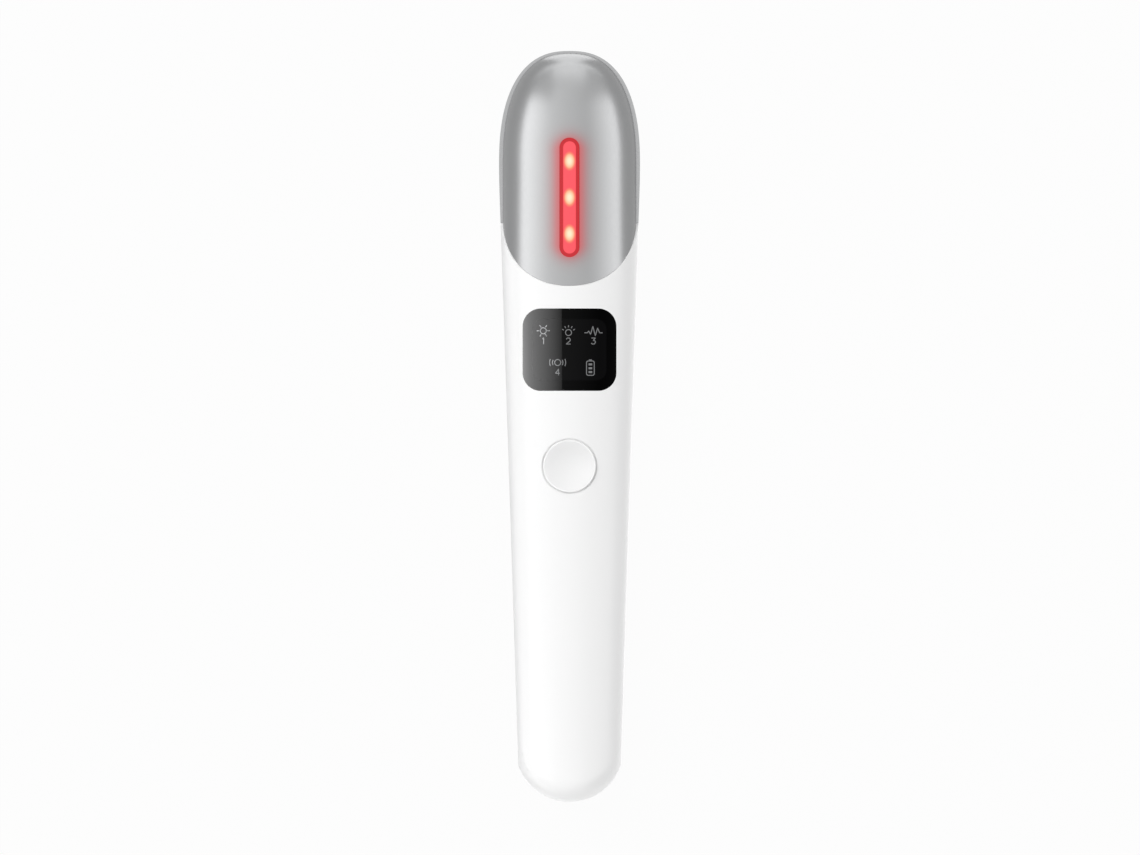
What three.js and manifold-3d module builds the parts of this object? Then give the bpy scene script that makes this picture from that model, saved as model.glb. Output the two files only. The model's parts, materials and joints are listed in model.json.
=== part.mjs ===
// A hand-held eye massager: a tapered wand with a heated metal head, a lit slot, a display and one button.
// It lies on its flat back. X runs across, Y from the tail to the head, Z from the back to the front face.
// The origin lies on the back plane, under the middle of the length. Every length is in millimetres.

import * as THREE from "three";
import { mergeVertices } from "three/addons/utils/BufferGeometryUtils.js";
import Module from "manifold-3d";

const wasm = await Module();
wasm.setup();

// Driving dimensions of the outer form
const overall_length = 150.2;
const head_half_width = 14.1;
const head_round_length = 23.0;
const head_front_height = 12.0;
const head_front_round_length = 18.1;
const head_back_round_length = 31.0;
const tail_half_width = 10.25;
const tail_front_height = 8.6;
const tail_front_round_length = 4.5;
const tail_back_round_length = 12.0;
const waist_blend_length = 5.0;
const seam_height = 10.0;
const back_crown_height = 0.45;

// Shape of the outer form, as powers and shares
const head_outline_power = 2.45;
const head_front_power = 2.3;
const head_back_power = 2.2;
const tail_round_power = 2.3;
const waist_power = 0.93;
const front_section_power = 2.15;
const back_section_power = 2.8;
const tail_corner_share = 0.949;

// Facets of the outer form
const section_steps = 16;
const tail_rings = 7;
const corner_rings = 3;
const body_rings = 7;
const head_rings = 11;

// Walls and clearances
const wall = 2.0;
const seam_gap = 0.2;
const hairline_gap = 0.3;
const fit_gap = 0.3;
const close_gap = 0.2;
const solder_gap = 0.1;
const cut_overrun = 5.0;

// Metal head plate, the ring that frames it, and the lit slot
const plate = {
  thickness: 0.8,
  side_rim: 0.74,
  top_rim: 0.45,
  side_cut_from_top: 33.3,
  front_cut_from_top: 47.1,
};
const bezel = { rise: 0.9, drop: 1.2, width: 4.0 };
const slot = { from_top: 29.5, length: 23.8, width: 4.0 };
const light_window = {
  set_back: 0.1,
  rim_width: 0.7,
  channel_depth: 0.35,
  flange_width: 1.1,
  flange_thickness: 1.0,
};

// Layers inside the head
const heater = { thickness: 0.3, slot_margin: 1.5, side_rise: 4.0, top_margin: 13.0 };
const carrier = { thickness: 1.5, top_margin: 10.0 };
const thermistor = { radius: 0.8, length: 2.4, x: 6.5, from_slot: 2.4 };
const bead_shoulder_share = 0.5;
const led = {
  count: 3,
  pitch: 7.24,
  width: 2.8,
  length: 3.5,
  height: 1.0,
  lens_radius: 1.1,
  lens_height: 0.3,
};
const led_board = { width: 8.8, length: 33.0, thickness: 1.0, shift: 2.0 };
const led_board_screw = {
  shank_radius: 0.6,
  shank_length: 2.0,
  head_radius: 1.2,
  head_height: 0.8,
  inset: 1.9,
};

// Vibration motor
const motor = {
  radius: 3.5,
  can_wall: 0.35,
  length: 13.0,
  cap_thickness: 1.0,
  magnet_thickness: 0.55,
  magnet_length: 7.0,
  armature_length: 6.4,
  shaft_radius: 0.5,
  running_gap: 0.3,
  bore_gap: 0.1,
  weight_gap: 0.6,
  weight_radius: 2.8,
  weight_hub_radius: 1.1,
  weight_length: 4.0,
  lead_room: 2.2,
};
const armature_groove_share = 0.28;
const armature_poles = 3;
const motor_sleeve = { length: 8.0, wall: 0.8, from_cap: 1.6 };
const motor_rib = { thickness: 1.0, height: 4.4 };

// Display
const display = {
  from_neck: 12.7,
  width: 18.7,
  height: 16.4,
  corner_radius: 3.6,
  thickness: 1.1,
  ledge_width: 1.2,
};
const icon_film = { thickness: 0.25 };
const light_box = { margin: 0.5, floor_gap: 0.3 };
const icon_led = { width: 1.6, length: 0.8, height: 0.6 };
const icon_cell = { width: 3.6, length: 4.0, corner_radius: 0.5 };

// Where the five signs lie, as shares of the window's half width and half height
const icon_shares = [
  [-0.56, 0.46],
  [0, 0.46],
  [0.54, 0.46],
  [-0.25, -0.34],
  [0.44, -0.44],
];

// Button and the switch under it
const button = {
  radius: 5.25,
  proud: 0.1,
  rim_width: 0.45,
  dish_depth: 1.2,
  edge_round: 0.25,
  top_wall: 0.8,
  skirt_wall: 0.9,
  flange_width: 0.9,
  flange_thickness: 0.7,
  stem_radius: 1.5,
  travel: 0.4,
};
const button_place_share = 0.1825;
const button_follow_share = 0.35;
const dish_radius_shares = [0.3, 0.55, 0.78];
const tact = {
  width: 6.0,
  height: 2.0,
  corner_radius: 0.6,
  plunger_radius: 1.6,
  plunger_rise: 0.5,
  plunger_depth: 0.7,
};

// Main board and what is soldered on it
const board = { thickness: 1.0, edge_gap: 0.4 };
const mcu = { width: 6.0, length: 6.0, height: 0.9, corner_radius: 0.3 };
const charger = { width: 3.9, length: 4.9, height: 1.3, rise: 0.15, x: -4.7 };
const charger_lead = { reach: 1.0, width: 0.45, height: 0.6, pitch: 1.27, per_side: 4 };
const inductor = { radius: 3.0, height: 2.8, flange_height: 0.6, core_radius: 2.2, x: 1.9 };
const capacitor = { radius: 1.7, height: 2.2, base_height: 0.5, crimp_depth: 0.2, x: 3.9 };

// Places on the board, as shares of the way from the tail's screw to the button
const mcu_share = 0.6;
const inductor_share = 0.34;
const low_screw_share = 0.12;
const high_screw_share = 0.815;

// Battery
const battery = { width: 12.4, length: 44.0, corner_radius: 2.4 };
const foam = { width: 8.6, length: 38.0, thickness: 0.8 };
const battery_rib = { thickness: 1.0, height: 4.0 };
const battery_plug = { width: 4.0, length: 3.2, height: 2.8, shell: 0.5, mouth_depth: 1.8, from_pin: 1.6 };

// Charging socket
const usb = {
  width: 8.94,
  height: 3.26,
  length: 7.3,
  corner_radius: 1.5,
  shell: 0.3,
  mouth_set_back: 1.7,
  overhang: 3.9,
  tongue_width: 6.7,
  tongue_thickness: 0.7,
  tongue_set_back: 0.6,
  block_length: 2.2,
};

// Screws, bosses and plugs
const shell_screw = { shank_radius: 1.0, head_radius: 1.9, head_height: 1.4, bite: 5.0 };
const shell_boss = { wall: 1.0, neck_step: 0.5 };
const plug = { thickness: 1.6, set_back: 0.1, gap: 0.15 };
const board_screw = { shank_radius: 0.7, shank_length: 3.2, head_radius: 1.3, head_height: 0.8 };
const board_boss = { wall: 1.1 };
const recess_depth_share = 0.6;
const recess_reach_share = 0.62;
const recess_width_share = 0.28;

// Return electrode on the back and its contact pin
const electrode = { width: 8.0, thickness: 0.7, set_back: 0.1, end_gap: 5.0 };
const contact_pin = { barrel_radius: 1.0, tip_radius: 0.6, from_battery: 4.2 };
const pin_barrel_share = 0.55;

// Wires and the ribbon
const wire_radius = 0.4;
const wire_clearance = 0.9;
const ribbon = { width: 2.0, thickness: 0.2, x: -3.4, land_length: 1.6 };

// Levels and places worked out from the sizes above
const tail_end_y = -overall_length / 2;
const head_end_y = overall_length / 2;
const head_centre_y = head_end_y - head_round_length;
const tail_arc_radius = tail_half_width / tail_corner_share;
const tail_arc_y = tail_end_y + tail_arc_radius;
const tail_corner_angle = Math.asin(tail_corner_share);
const tail_corner_y = tail_arc_y - tail_arc_radius * Math.cos(tail_corner_angle);
const front_top_z = seam_height + head_front_height;
const shell_floor_z = wall;
const board_bottom_z = seam_height + usb.height / 2 + close_gap;
const board_top_z = board_bottom_z + board.thickness;
const shell_boss_radius = shell_screw.head_radius + fit_gap + shell_boss.wall;
const front_boss_radius = shell_screw.shank_radius + shell_boss.wall;
const usb_mouth_y = tail_end_y + usb.mouth_set_back;
const usb_back_y = usb_mouth_y + usb.length;
const tail_screw_y = usb_back_y + fit_gap + shell_boss_radius;
const side_cut_y = head_end_y - plate.side_cut_from_top;
const front_cut_y = head_end_y - plate.front_cut_from_top;
const slot_y = head_end_y - slot.from_top;
const display_y = front_cut_y - display.from_neck;
const window_low_y = display_y - display.height / 2;
const button_y = window_low_y - (window_low_y - tail_end_y) * button_place_share;
const button_flange_radius = button.radius + button.flange_width;
const neck_screw_y = front_cut_y - shell_boss.neck_step;
const battery_low_y = tail_screw_y + shell_boss_radius + fit_gap;
const battery_high_y = battery_low_y + battery.length;
const board_tail_end_y = usb_mouth_y + usb.overhang;
const board_head_end_y = neck_screw_y - front_boss_radius - 2 * fit_gap;
const pin_y = battery_high_y + contact_pin.from_battery;

// Small tools for solids
const merge_tolerance = 1e-5;

function solidOf(geometry) {
  const bare = geometry.index ? geometry.toNonIndexed() : geometry.clone();
  bare.deleteAttribute("normal");
  bare.deleteAttribute("uv");
  const merged = mergeVertices(bare, merge_tolerance);
  return new wasm.Manifold(
    new wasm.Mesh({
      numProp: 3,
      vertProperties: merged.attributes.position.array,
      triVerts: new Uint32Array(merged.index.array),
    }),
  );
}

function geometryOf(solid) {
  const mesh = solid.getMesh();
  const geometry = new THREE.BufferGeometry();
  geometry.setAttribute("position", new THREE.BufferAttribute(new Float32Array(mesh.vertProperties), 3));
  geometry.setIndex(new THREE.BufferAttribute(new Uint32Array(mesh.triVerts), 1));
  const flat = geometry.toNonIndexed();
  flat.computeVertexNormals();
  return flat;
}

function boxBetween(low, high) {
  const size = [high[0] - low[0], high[1] - low[1], high[2] - low[2]];
  const box = new THREE.BoxGeometry(...size);
  box.translate((low[0] + high[0]) / 2, (low[1] + high[1]) / 2, (low[2] + high[2]) / 2);
  return solidOf(box);
}

function boxOn(x, y, z, width, length, height) {
  return boxBetween([x - width / 2, y - length / 2, z], [x + width / 2, y + length / 2, z + height]);
}

// A round bar along Z between two heights
function bar(radius, x, y, low_z, high_z, sides = 16) {
  const cylinder = new THREE.CylinderGeometry(radius, radius, high_z - low_z, sides);
  cylinder.rotateX(Math.PI / 2);
  cylinder.translate(x, y, (low_z + high_z) / 2);
  return solidOf(cylinder);
}

// An outline extruded along Z between two heights
function prism(outline, low_z, high_z, steps = 3) {
  const settings = { depth: high_z - low_z, bevelEnabled: false, curveSegments: steps };
  const geometry = new THREE.ExtrudeGeometry(outline, settings);
  geometry.translate(0, 0, low_z);
  return solidOf(geometry);
}

// An outline drawn in Y and Z, extruded along X
function sideways(outline, low_x, high_x, steps = 3) {
  const settings = { depth: high_x - low_x, bevelEnabled: false, curveSegments: steps };
  const geometry = new THREE.ExtrudeGeometry(outline, settings);
  geometry.translate(0, 0, low_x);
  const turn = new THREE.Matrix4().makeBasis(
    new THREE.Vector3(0, 1, 0),
    new THREE.Vector3(0, 0, 1),
    new THREE.Vector3(1, 0, 0),
  );
  return solidOf(geometry.applyMatrix4(turn));
}

// An outline drawn in X and Z, extruded along Y
function lengthways(outline, low_y, high_y, steps = 3) {
  const settings = { depth: high_y - low_y, bevelEnabled: false, curveSegments: steps };
  const geometry = new THREE.ExtrudeGeometry(outline, settings);
  geometry.rotateX(Math.PI / 2);
  geometry.translate(0, high_y, 0);
  return solidOf(geometry);
}

function closed(profile) {
  return [...profile, profile[0]];
}

// A profile of radius and distance pairs, turned about a Y axis at x, z
function turnedAlongY(profile, x, z, sides = 20) {
  const points = profile.map(([radius, y]) => new THREE.Vector2(radius, y));
  const geometry = new THREE.LatheGeometry(points, sides);
  geometry.translate(x, 0, z);
  return solidOf(geometry);
}

// A profile of radius and height pairs, turned about a Z axis at x, y
function turnedAlongZ(profile, x, y, sides = 14) {
  const points = profile.map(([radius, z]) => new THREE.Vector2(radius, z));
  const geometry = new THREE.LatheGeometry(points, sides);
  geometry.rotateX(Math.PI / 2);
  geometry.translate(x, y, 0);
  return solidOf(geometry);
}

function roundedOutline(x, y, width, height, radius) {
  const right = x + width / 2;
  const left = x - width / 2;
  const top = y + height / 2;
  const bottom = y - height / 2;
  const outline = new THREE.Shape();
  outline.moveTo(left + radius, bottom);
  outline.lineTo(right - radius, bottom);
  outline.absarc(right - radius, bottom + radius, radius, -Math.PI / 2, 0, false);
  outline.lineTo(right, top - radius);
  outline.absarc(right - radius, top - radius, radius, 0, Math.PI / 2, false);
  outline.lineTo(left + radius, top);
  outline.absarc(left + radius, top - radius, radius, Math.PI / 2, Math.PI, false);
  outline.lineTo(left, bottom + radius);
  outline.absarc(left + radius, bottom + radius, radius, Math.PI, 1.5 * Math.PI, false);
  return outline;
}

function polygon(points) {
  return new THREE.Shape(points.map(([x, y]) => new THREE.Vector2(x, y)));
}

// A round wire along a smooth line through points
function wire(points, radius = wire_radius, steps = 10) {
  const line = new THREE.CatmullRomCurve3(points.map((point) => new THREE.Vector3(...point)));
  const section = new THREE.Shape();
  section.absarc(0, 0, radius, 0, 2 * Math.PI, false);
  const settings = { extrudePath: line, steps, bevelEnabled: false, curveSegments: 3 };
  return solidOf(new THREE.ExtrudeGeometry(section, settings));
}

// The outer form: a loft of superellipse sections from the tail to the top of the head
function roundedOff(distance, length, power) {
  const share = Math.min(Math.max(distance / length, 0), 1);
  return Math.pow(1 - Math.pow(share, power), 1 / power);
}

// 0 at the widest section of the head and 1 at the corner of the tail
function taperShare(y) {
  const blend = waist_blend_length;
  const fall = (distance) => Math.hypot(distance, blend) - blend;
  const below = Math.max(head_centre_y - y, 0);
  return Math.pow(fall(below) / fall(head_centre_y - tail_corner_y), waist_power);
}

// Half width, full width, front height and back depth of the section at y, drawn in by an inset. A rim
// narrows the head further and shortens it, which gives the metal plate's own surface. The full width is
// the one that the section would have without the arc of the tail.
function sectionAt(y, inset, side_rim, top_rim) {
  const taper = taperShare(y);
  const top_y = head_end_y - top_rim - inset;
  const tapered_width = head_half_width - (head_half_width - tail_half_width) * taper;
  const widest = Math.min(tapered_width, head_half_width - side_rim) - inset;
  const head_round = head_round_length - top_rim - inset;
  const full_width = widest * roundedOff(y - head_centre_y, head_round, head_outline_power);
  let half_width = full_width;
  if (y < tail_arc_y) {
    const arc_radius = tail_arc_radius - inset;
    const reach = tail_arc_y - y;
    const arc = Math.sqrt(Math.max(arc_radius * arc_radius - reach * reach, 0));
    half_width = Math.min(half_width, arc);
  }
  const front_start = head_end_y - head_front_round_length;
  const back_start = head_end_y - head_back_round_length;
  const front_full = head_front_height - (head_front_height - tail_front_height) * taper - inset;
  const front = front_full * roundedOff(y - front_start, top_y - front_start, head_front_power);
  const back_full = seam_height + back_crown_height - inset;
  const back = back_full * roundedOff(y - back_start, top_y - back_start, head_back_power);
  return { half_width, full_width, front, back };
}

// Share of its height that the surface keeps at a point, as it rounds off towards the arc of the tail. The
// inset draws the arc in, and the rounding shrinks with it.
function tailRound(x, y, inset, length) {
  const arc_radius = tail_arc_radius - inset;
  const arc_y = tail_arc_y - Math.sqrt(Math.max(arc_radius * arc_radius - x * x, 0));
  const round = (length * arc_radius) / tail_arc_radius;
  return roundedOff(arc_y + round - y, round, tail_round_power);
}

function towards(value, power) {
  return Math.sign(value) * Math.pow(Math.abs(value), 2 / power);
}

// One ring of points round a section. The back is cut flat, so that the wand lies still.
function ringAt(y, inset, side_rim, top_rim) {
  const { half_width, full_width, front, back } = sectionAt(y, inset, side_rim, top_rim);
  const flat_z = inset;
  const points = [];
  for (let step = 0; step < 2 * section_steps; step++) {
    const angle = (Math.PI * step) / section_steps;
    const in_front = step <= section_steps;
    const power = in_front ? front_section_power : back_section_power;
    const x = half_width * towards(Math.cos(angle), power);
    const length = in_front ? tail_front_round_length : tail_back_round_length;
    const height = (in_front ? front : -back) * tailRound(x, y, inset, length);
    const on_seam = step % section_steps === 0;
    const rise = on_seam ? 0 : height * roundedOff(Math.abs(x), full_width, power);
    points.push([x, y, Math.max(seam_height + rise, flat_z)]);
  }
  return points;
}

function stations(inset, top_rim) {
  const places = [];
  const arc_radius = tail_arc_radius - inset;
  for (let ring = 1; ring <= tail_rings; ring++) {
    places.push(tail_arc_y - arc_radius * Math.cos((tail_corner_angle * ring) / tail_rings));
  }
  const corner = places[places.length - 1];
  for (let ring = 1; ring <= corner_rings; ring++) {
    const angle = (Math.PI / 2) * (ring / corner_rings);
    places.push(corner + tail_front_round_length * (1 - Math.cos(angle)));
  }
  const straight = places[places.length - 1];
  for (let ring = 1; ring <= body_rings; ring++) {
    places.push(straight + ((head_centre_y - straight) * ring) / body_rings);
  }
  const head_round = head_round_length - top_rim - inset;
  for (let ring = 1; ring < head_rings; ring++) {
    const angle = (Math.PI / 2) * (ring / head_rings);
    places.push(head_centre_y + head_round * towards(Math.sin(angle), head_outline_power));
  }
  return places;
}

const forms = new Map();

function form(inset, side_rim = 0, top_rim = 0) {
  const key = [inset, side_rim, top_rim].join(" ");
  if (forms.has(key)) return forms.get(key);
  const rings = stations(inset, top_rim).map((y) => ringAt(y, inset, side_rim, top_rim));
  const count = 2 * section_steps;
  const tail_tip = [0, tail_end_y + inset, seam_height];
  const head_tip = [0, head_end_y - top_rim - inset, seam_height];
  const triangles = [];
  for (let side = 0; side < count; side++) {
    const next = (side + 1) % count;
    const first = rings[0];
    const last = rings[rings.length - 1];
    triangles.push(first[side], first[next], tail_tip);
    triangles.push(last[next], last[side], head_tip);
    for (let ring = 0; ring + 1 < rings.length; ring++) {
      const near = rings[ring];
      const far = rings[ring + 1];
      triangles.push(near[side], far[side], near[next]);
      triangles.push(near[next], far[side], far[next]);
    }
  }
  const geometry = new THREE.BufferGeometry();
  geometry.setAttribute("position", new THREE.Float32BufferAttribute(triangles.flat(), 3));
  const solid = solidOf(geometry);
  forms.set(key, solid);
  return solid;
}

// The form of the metal head and what follows it inside
function plateForm(inset) {
  return form(inset, plate.side_rim, plate.top_rim);
}

// Height of the outer front surface above the back plane
function frontZ(x, y, inset = 0) {
  const { full_width, front } = sectionAt(y, inset, 0, 0);
  return seam_height + front * roundedOff(Math.abs(x), full_width, front_section_power);
}

// Height of the metal plate's surface, or of one drawn in from it
function plateZ(x, y, inset) {
  const { full_width, front } = sectionAt(y, inset, plate.side_rim, plate.top_rim);
  return seam_height + front * roundedOff(Math.abs(x), full_width, front_section_power);
}

// Limits past the whole wand, for cuts
const far_x = head_half_width + cut_overrun;
const far_low_y = tail_end_y - cut_overrun;
const far_high_y = head_end_y + cut_overrun;
const far_low_z = -cut_overrun;
const far_high_z = front_top_z + cut_overrun;

// The head is cut from the body by a plane that leans from the seam to the front face
const cut_run = side_cut_y - front_cut_y;
const cut_rise = sectionAt(front_cut_y, 0, 0, 0).front;

function cutY(z) {
  return side_cut_y - ((z - seam_height) / cut_rise) * cut_run;
}

const bezel_top_z = seam_height + bezel.rise;
const bezel_bottom_z = seam_height - bezel.drop;
const bezel_end_y = cutY(bezel_top_z);

function slab(low_z, high_z) {
  return boxBetween([-far_x, far_low_y, low_z], [far_x, far_high_y, high_z]);
}

// Everything on the head's side of the leaning cut, above a level
function headRegion(gap, low_z) {
  const outline = polygon([
    [cutY(low_z) + gap, low_z],
    [far_high_y, low_z],
    [far_high_y, far_high_z],
    [cutY(far_high_z) + gap, far_high_z],
  ]);
  return sideways(outline, -far_x, far_x);
}

// The front shell's side of the same cut, which stops short of the bezel's two ends
function bodyRegion(gap, low_z) {
  const outline = polygon([
    [far_low_y, low_z],
    [bezel_end_y - gap, low_z],
    [bezel_end_y - gap, bezel_top_z],
    [cutY(far_high_z) - gap, far_high_z],
    [far_low_y, far_high_z],
  ]);
  return sideways(outline, -far_x, far_x);
}

// Outlines that several pieces share
function slotOutline(margin) {
  const width = slot.width + 2 * margin;
  return roundedOutline(0, slot_y, width, slot.length + 2 * margin, width / 2);
}

function windowOutline(margin) {
  const radius = display.corner_radius + margin;
  return roundedOutline(0, display_y, display.width + 2 * margin, display.height + 2 * margin, radius);
}

function usbOutline(margin) {
  const width = usb.width + 2 * margin;
  return roundedOutline(0, seam_height, width, usb.height + 2 * margin, usb.corner_radius + margin);
}

const usb_opening = lengthways(usbOutline(fit_gap), far_low_y, usb_back_y + fit_gap);

// A place on the board between the tail's screw and the button
function alongBoard(share) {
  const low_y = tail_screw_y + front_boss_radius + fit_gap;
  return low_y + (button_y - button_flange_radius - low_y) * share;
}

// Levels and places of the inner pieces
const board_screw_ys = [
  (window_low_y + button_y + button_flange_radius) / 2,
  alongBoard(high_screw_share),
  alongBoard(low_screw_share),
];
const shell_screw_ys = [tail_screw_y, neck_screw_y];
const plug_top_z = plug.set_back + plug.thickness;
const screw_head_low_z = plug_top_z + close_gap;
const screw_head_high_z = screw_head_low_z + shell_screw.head_height;
const screw_seat_z = screw_head_high_z + solder_gap;
const screw_end_z = seam_height + shell_screw.bite;
const shell_top_z = seam_height - seam_gap / 2;
const front_low_z = seam_height + seam_gap / 2;
const battery_low_z = shell_floor_z + foam.thickness + 2 * close_gap;
const battery_high_z = board_bottom_z - board_screw.head_height - 2 * fit_gap;
const electrode_low_y = tail_screw_y + shell_boss_radius + electrode.end_gap;
const electrode_high_y = neck_screw_y - shell_boss_radius - electrode.end_gap;
const electrode_top_z = electrode.set_back + electrode.thickness;
const heater_inset = plate.thickness + fit_gap;
const carrier_inset = heater_inset + heater.thickness + fit_gap;
const window_bottom_inset = heater_inset + light_window.flange_thickness;
const led_top_z = plateZ(0, slot_y, window_bottom_inset) - fit_gap;
const led_board_top_z = led_top_z - led.height - led.lens_height - solder_gap;
const led_board_bottom_z = led_board_top_z - led_board.thickness;
const led_board_low_y = slot_y + led_board.shift - led_board.length / 2;
const led_board_high_y = led_board_low_y + led_board.length;
const led_screw_y = led_board_high_y - led_board_screw.inset;
const sleeve_half = motor.radius + close_gap + motor_sleeve.wall;
const motor_z = shell_floor_z + fit_gap + sleeve_half;
const motor_low_y = neck_screw_y + shell_boss_radius + motor.lead_room;
const can_low_y = motor_low_y + motor.cap_thickness + solder_gap;
const can_high_y = can_low_y + motor.length;
const sleeve_low_y = can_low_y + motor_sleeve.from_cap;
const switch_low_z = board_top_z + solder_gap;
const switch_top_z = switch_low_z + tact.height;
const plunger_top_z = switch_top_z + tact.plunger_rise;
const pin_low_z = electrode_top_z + solder_gap;

function electrodeOutline(margin) {
  const length = electrode_high_y - electrode_low_y + 2 * margin;
  const width = electrode.width + 2 * margin;
  return roundedOutline(0, (electrode_low_y + electrode_high_y) / 2, width, length, width / 2);
}

// The casing
function frontShell() {
  const region = bodyRegion(hairline_gap / 2, front_low_z);
  const inside = form(wall / 2).intersect(region);
  let shell = form(0).subtract(form(wall)).intersect(region);
  for (const y of board_screw_ys) {
    const radius = board_screw.shank_radius + board_boss.wall;
    const boss = bar(radius, 0, y, board_top_z + solder_gap, far_high_z).intersect(inside);
    const hole_top_z = board_bottom_z + board_screw.shank_length + close_gap;
    shell = shell.add(boss).subtract(bar(board_screw.shank_radius + solder_gap, 0, y, 0, hole_top_z, 12));
  }
  for (const y of shell_screw_ys) {
    const boss = bar(front_boss_radius, 0, y, front_low_z, far_high_z, 20).intersect(inside);
    const hole = bar(shell_screw.shank_radius + solder_gap, 0, y, 0, screw_end_z + close_gap, 12);
    shell = shell.add(boss).subtract(hole);
  }
  const pocket = prism(windowOutline(close_gap), seam_height, far_high_z);
  const ledge_opening = prism(windowOutline(-display.ledge_width), seam_height, far_high_z);
  return shell
    .subtract(pocket.subtract(form(display.thickness + close_gap)))
    .subtract(ledge_opening)
    .subtract(bar(button.radius + fit_gap, 0, button_y, seam_height, far_high_z, 36))
    .subtract(usb_opening);
}

function rearShell() {
  const inside = form(wall / 2);
  const below_bezel = slab(far_low_z, bezel_bottom_z - close_gap);
  const below_seam = boxBetween(
    [-far_x, far_low_y, far_low_z],
    [far_x, bezel_end_y - hairline_gap / 2, shell_top_z],
  );
  let shell = form(0).subtract(form(wall)).intersect(below_bezel.add(below_seam));
  const rib_low_y = battery_high_y + fit_gap;
  const rib_high_z = shell_floor_z + battery_rib.height;
  const end_rib = boxBetween([-far_x, rib_low_y, 0], [far_x, rib_low_y + battery_rib.thickness, rib_high_z]);
  shell = shell.add(end_rib.intersect(inside));
  for (const side of [-1, 1]) {
    const x = side * (sleeve_half + fit_gap + motor_rib.thickness / 2);
    const y = sleeve_low_y + motor_sleeve.length / 2;
    const rib = boxOn(x, y, 0, motor_rib.thickness, motor_sleeve.length, shell_floor_z + motor_rib.height);
    shell = shell.add(rib.intersect(inside));
  }
  for (const y of shell_screw_ys) {
    const boss = bar(shell_boss_radius, 0, y, 0, shell_top_z, 24).intersect(inside);
    const counterbore = bar(shell_screw.head_radius + fit_gap, 0, y, far_low_z, screw_seat_z, 24);
    const hole = bar(shell_screw.shank_radius + fit_gap, 0, y, 0, far_high_z, 12);
    shell = shell.add(boss).subtract(counterbore).subtract(hole);
  }
  const pocket = prism(electrodeOutline(close_gap), far_low_z, electrode_top_z + solder_gap);
  return shell
    .subtract(pocket)
    .subtract(bar(contact_pin.tip_radius + fit_gap, 0, pin_y, 0, wall + cut_overrun, 12))
    .subtract(usb_opening);
}

// The head
function headPlate() {
  return plateForm(0)
    .subtract(plateForm(plate.thickness))
    .intersect(headRegion(hairline_gap / 2, bezel_top_z + close_gap))
    .subtract(prism(slotOutline(0), seam_height, far_high_z, 4));
}

function headBezel() {
  const band = boxBetween([-far_x, bezel_end_y, bezel_bottom_z], [far_x, far_high_y, bezel_top_z]);
  return form(0).subtract(form(bezel.width)).intersect(band);
}

function lightWindow() {
  const stem = prism(slotOutline(-close_gap), seam_height, far_high_z, 4);
  const flange = prism(slotOutline(light_window.flange_width), seam_height, far_high_z, 4);
  const channel = prism(slotOutline(-close_gap - light_window.rim_width), seam_height, far_high_z, 4);
  return stem
    .intersect(plateForm(light_window.set_back))
    .add(flange.intersect(plateForm(heater_inset)))
    .subtract(plateForm(window_bottom_inset))
    .subtract(channel.subtract(plateForm(light_window.set_back + light_window.channel_depth)));
}

function heaterFilm() {
  const reach = boxBetween(
    [-far_x, far_low_y, seam_height + heater.side_rise],
    [far_x, head_end_y - heater.top_margin, far_high_z],
  );
  return plateForm(heater_inset)
    .subtract(plateForm(heater_inset + heater.thickness))
    .intersect(headRegion(fit_gap, bezel_top_z + fit_gap))
    .intersect(reach)
    .subtract(prism(slotOutline(heater.slot_margin), seam_height, far_high_z))
    .subtract(leadPassage());
}

function headCarrier() {
  const board_pocket = boxBetween(
    [-led_board.width / 2 - fit_gap, led_board_low_y - fit_gap, seam_height],
    [led_board.width / 2 + fit_gap, led_board_high_y + fit_gap, led_board_top_z + close_gap],
  );
  const reach = boxBetween(
    [-far_x, far_low_y, bezel_top_z + fit_gap],
    [far_x, head_end_y - carrier.top_margin, far_high_z],
  );
  const screw_hole_top_z = led_board_bottom_z + led_board_screw.shank_length + close_gap;
  const screw_hole_radius = led_board_screw.shank_radius + solder_gap;
  return plateForm(carrier_inset)
    .subtract(plateForm(carrier_inset + carrier.thickness))
    .intersect(headRegion(fit_gap, bezel_top_z + fit_gap))
    .intersect(reach)
    .subtract(prism(slotOutline(heater.slot_margin), seam_height, far_high_z))
    .subtract(board_pocket)
    .subtract(bar(screw_hole_radius, 0, led_screw_y, seam_height, screw_hole_top_z, 12))
    .subtract(thermistorBead(fit_gap))
    .subtract(leadPassage());
}

function thermistorBead(margin) {
  const inset = heater_inset + heater.thickness + close_gap + thermistor.radius;
  const y = slot_y + thermistor.from_slot;
  const z = plateZ(thermistor.x, y, inset);
  const radius = thermistor.radius + margin;
  const half = thermistor.length / 2 + margin;
  const shoulder = radius * bead_shoulder_share;
  const profile = [
    [0, y - half],
    [shoulder, y - half],
    [radius, y - half + radius - shoulder],
    [radius, y + half - radius + shoulder],
    [shoulder, y + half],
    [0, y + half],
  ];
  return turnedAlongY(profile, thermistor.x, z, 12);
}

function ledBoard() {
  const y = (led_board_low_y + led_board_high_y) / 2;
  const slab_solid = boxOn(0, y, led_board_bottom_z, led_board.width, led_board.length, led_board.thickness);
  const hole = bar(led_board_screw.shank_radius + solder_gap, 0, led_screw_y, 0, far_high_z, 12);
  return slab_solid.subtract(hole);
}

// One light-emitting diode at the origin: a square base with a round lens
function ledPackage() {
  const base = boxOn(0, 0, 0, led.width, led.length, led.height);
  return base.add(bar(led.lens_radius, 0, 0, 0, led.height + led.lens_height, 16));
}

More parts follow.
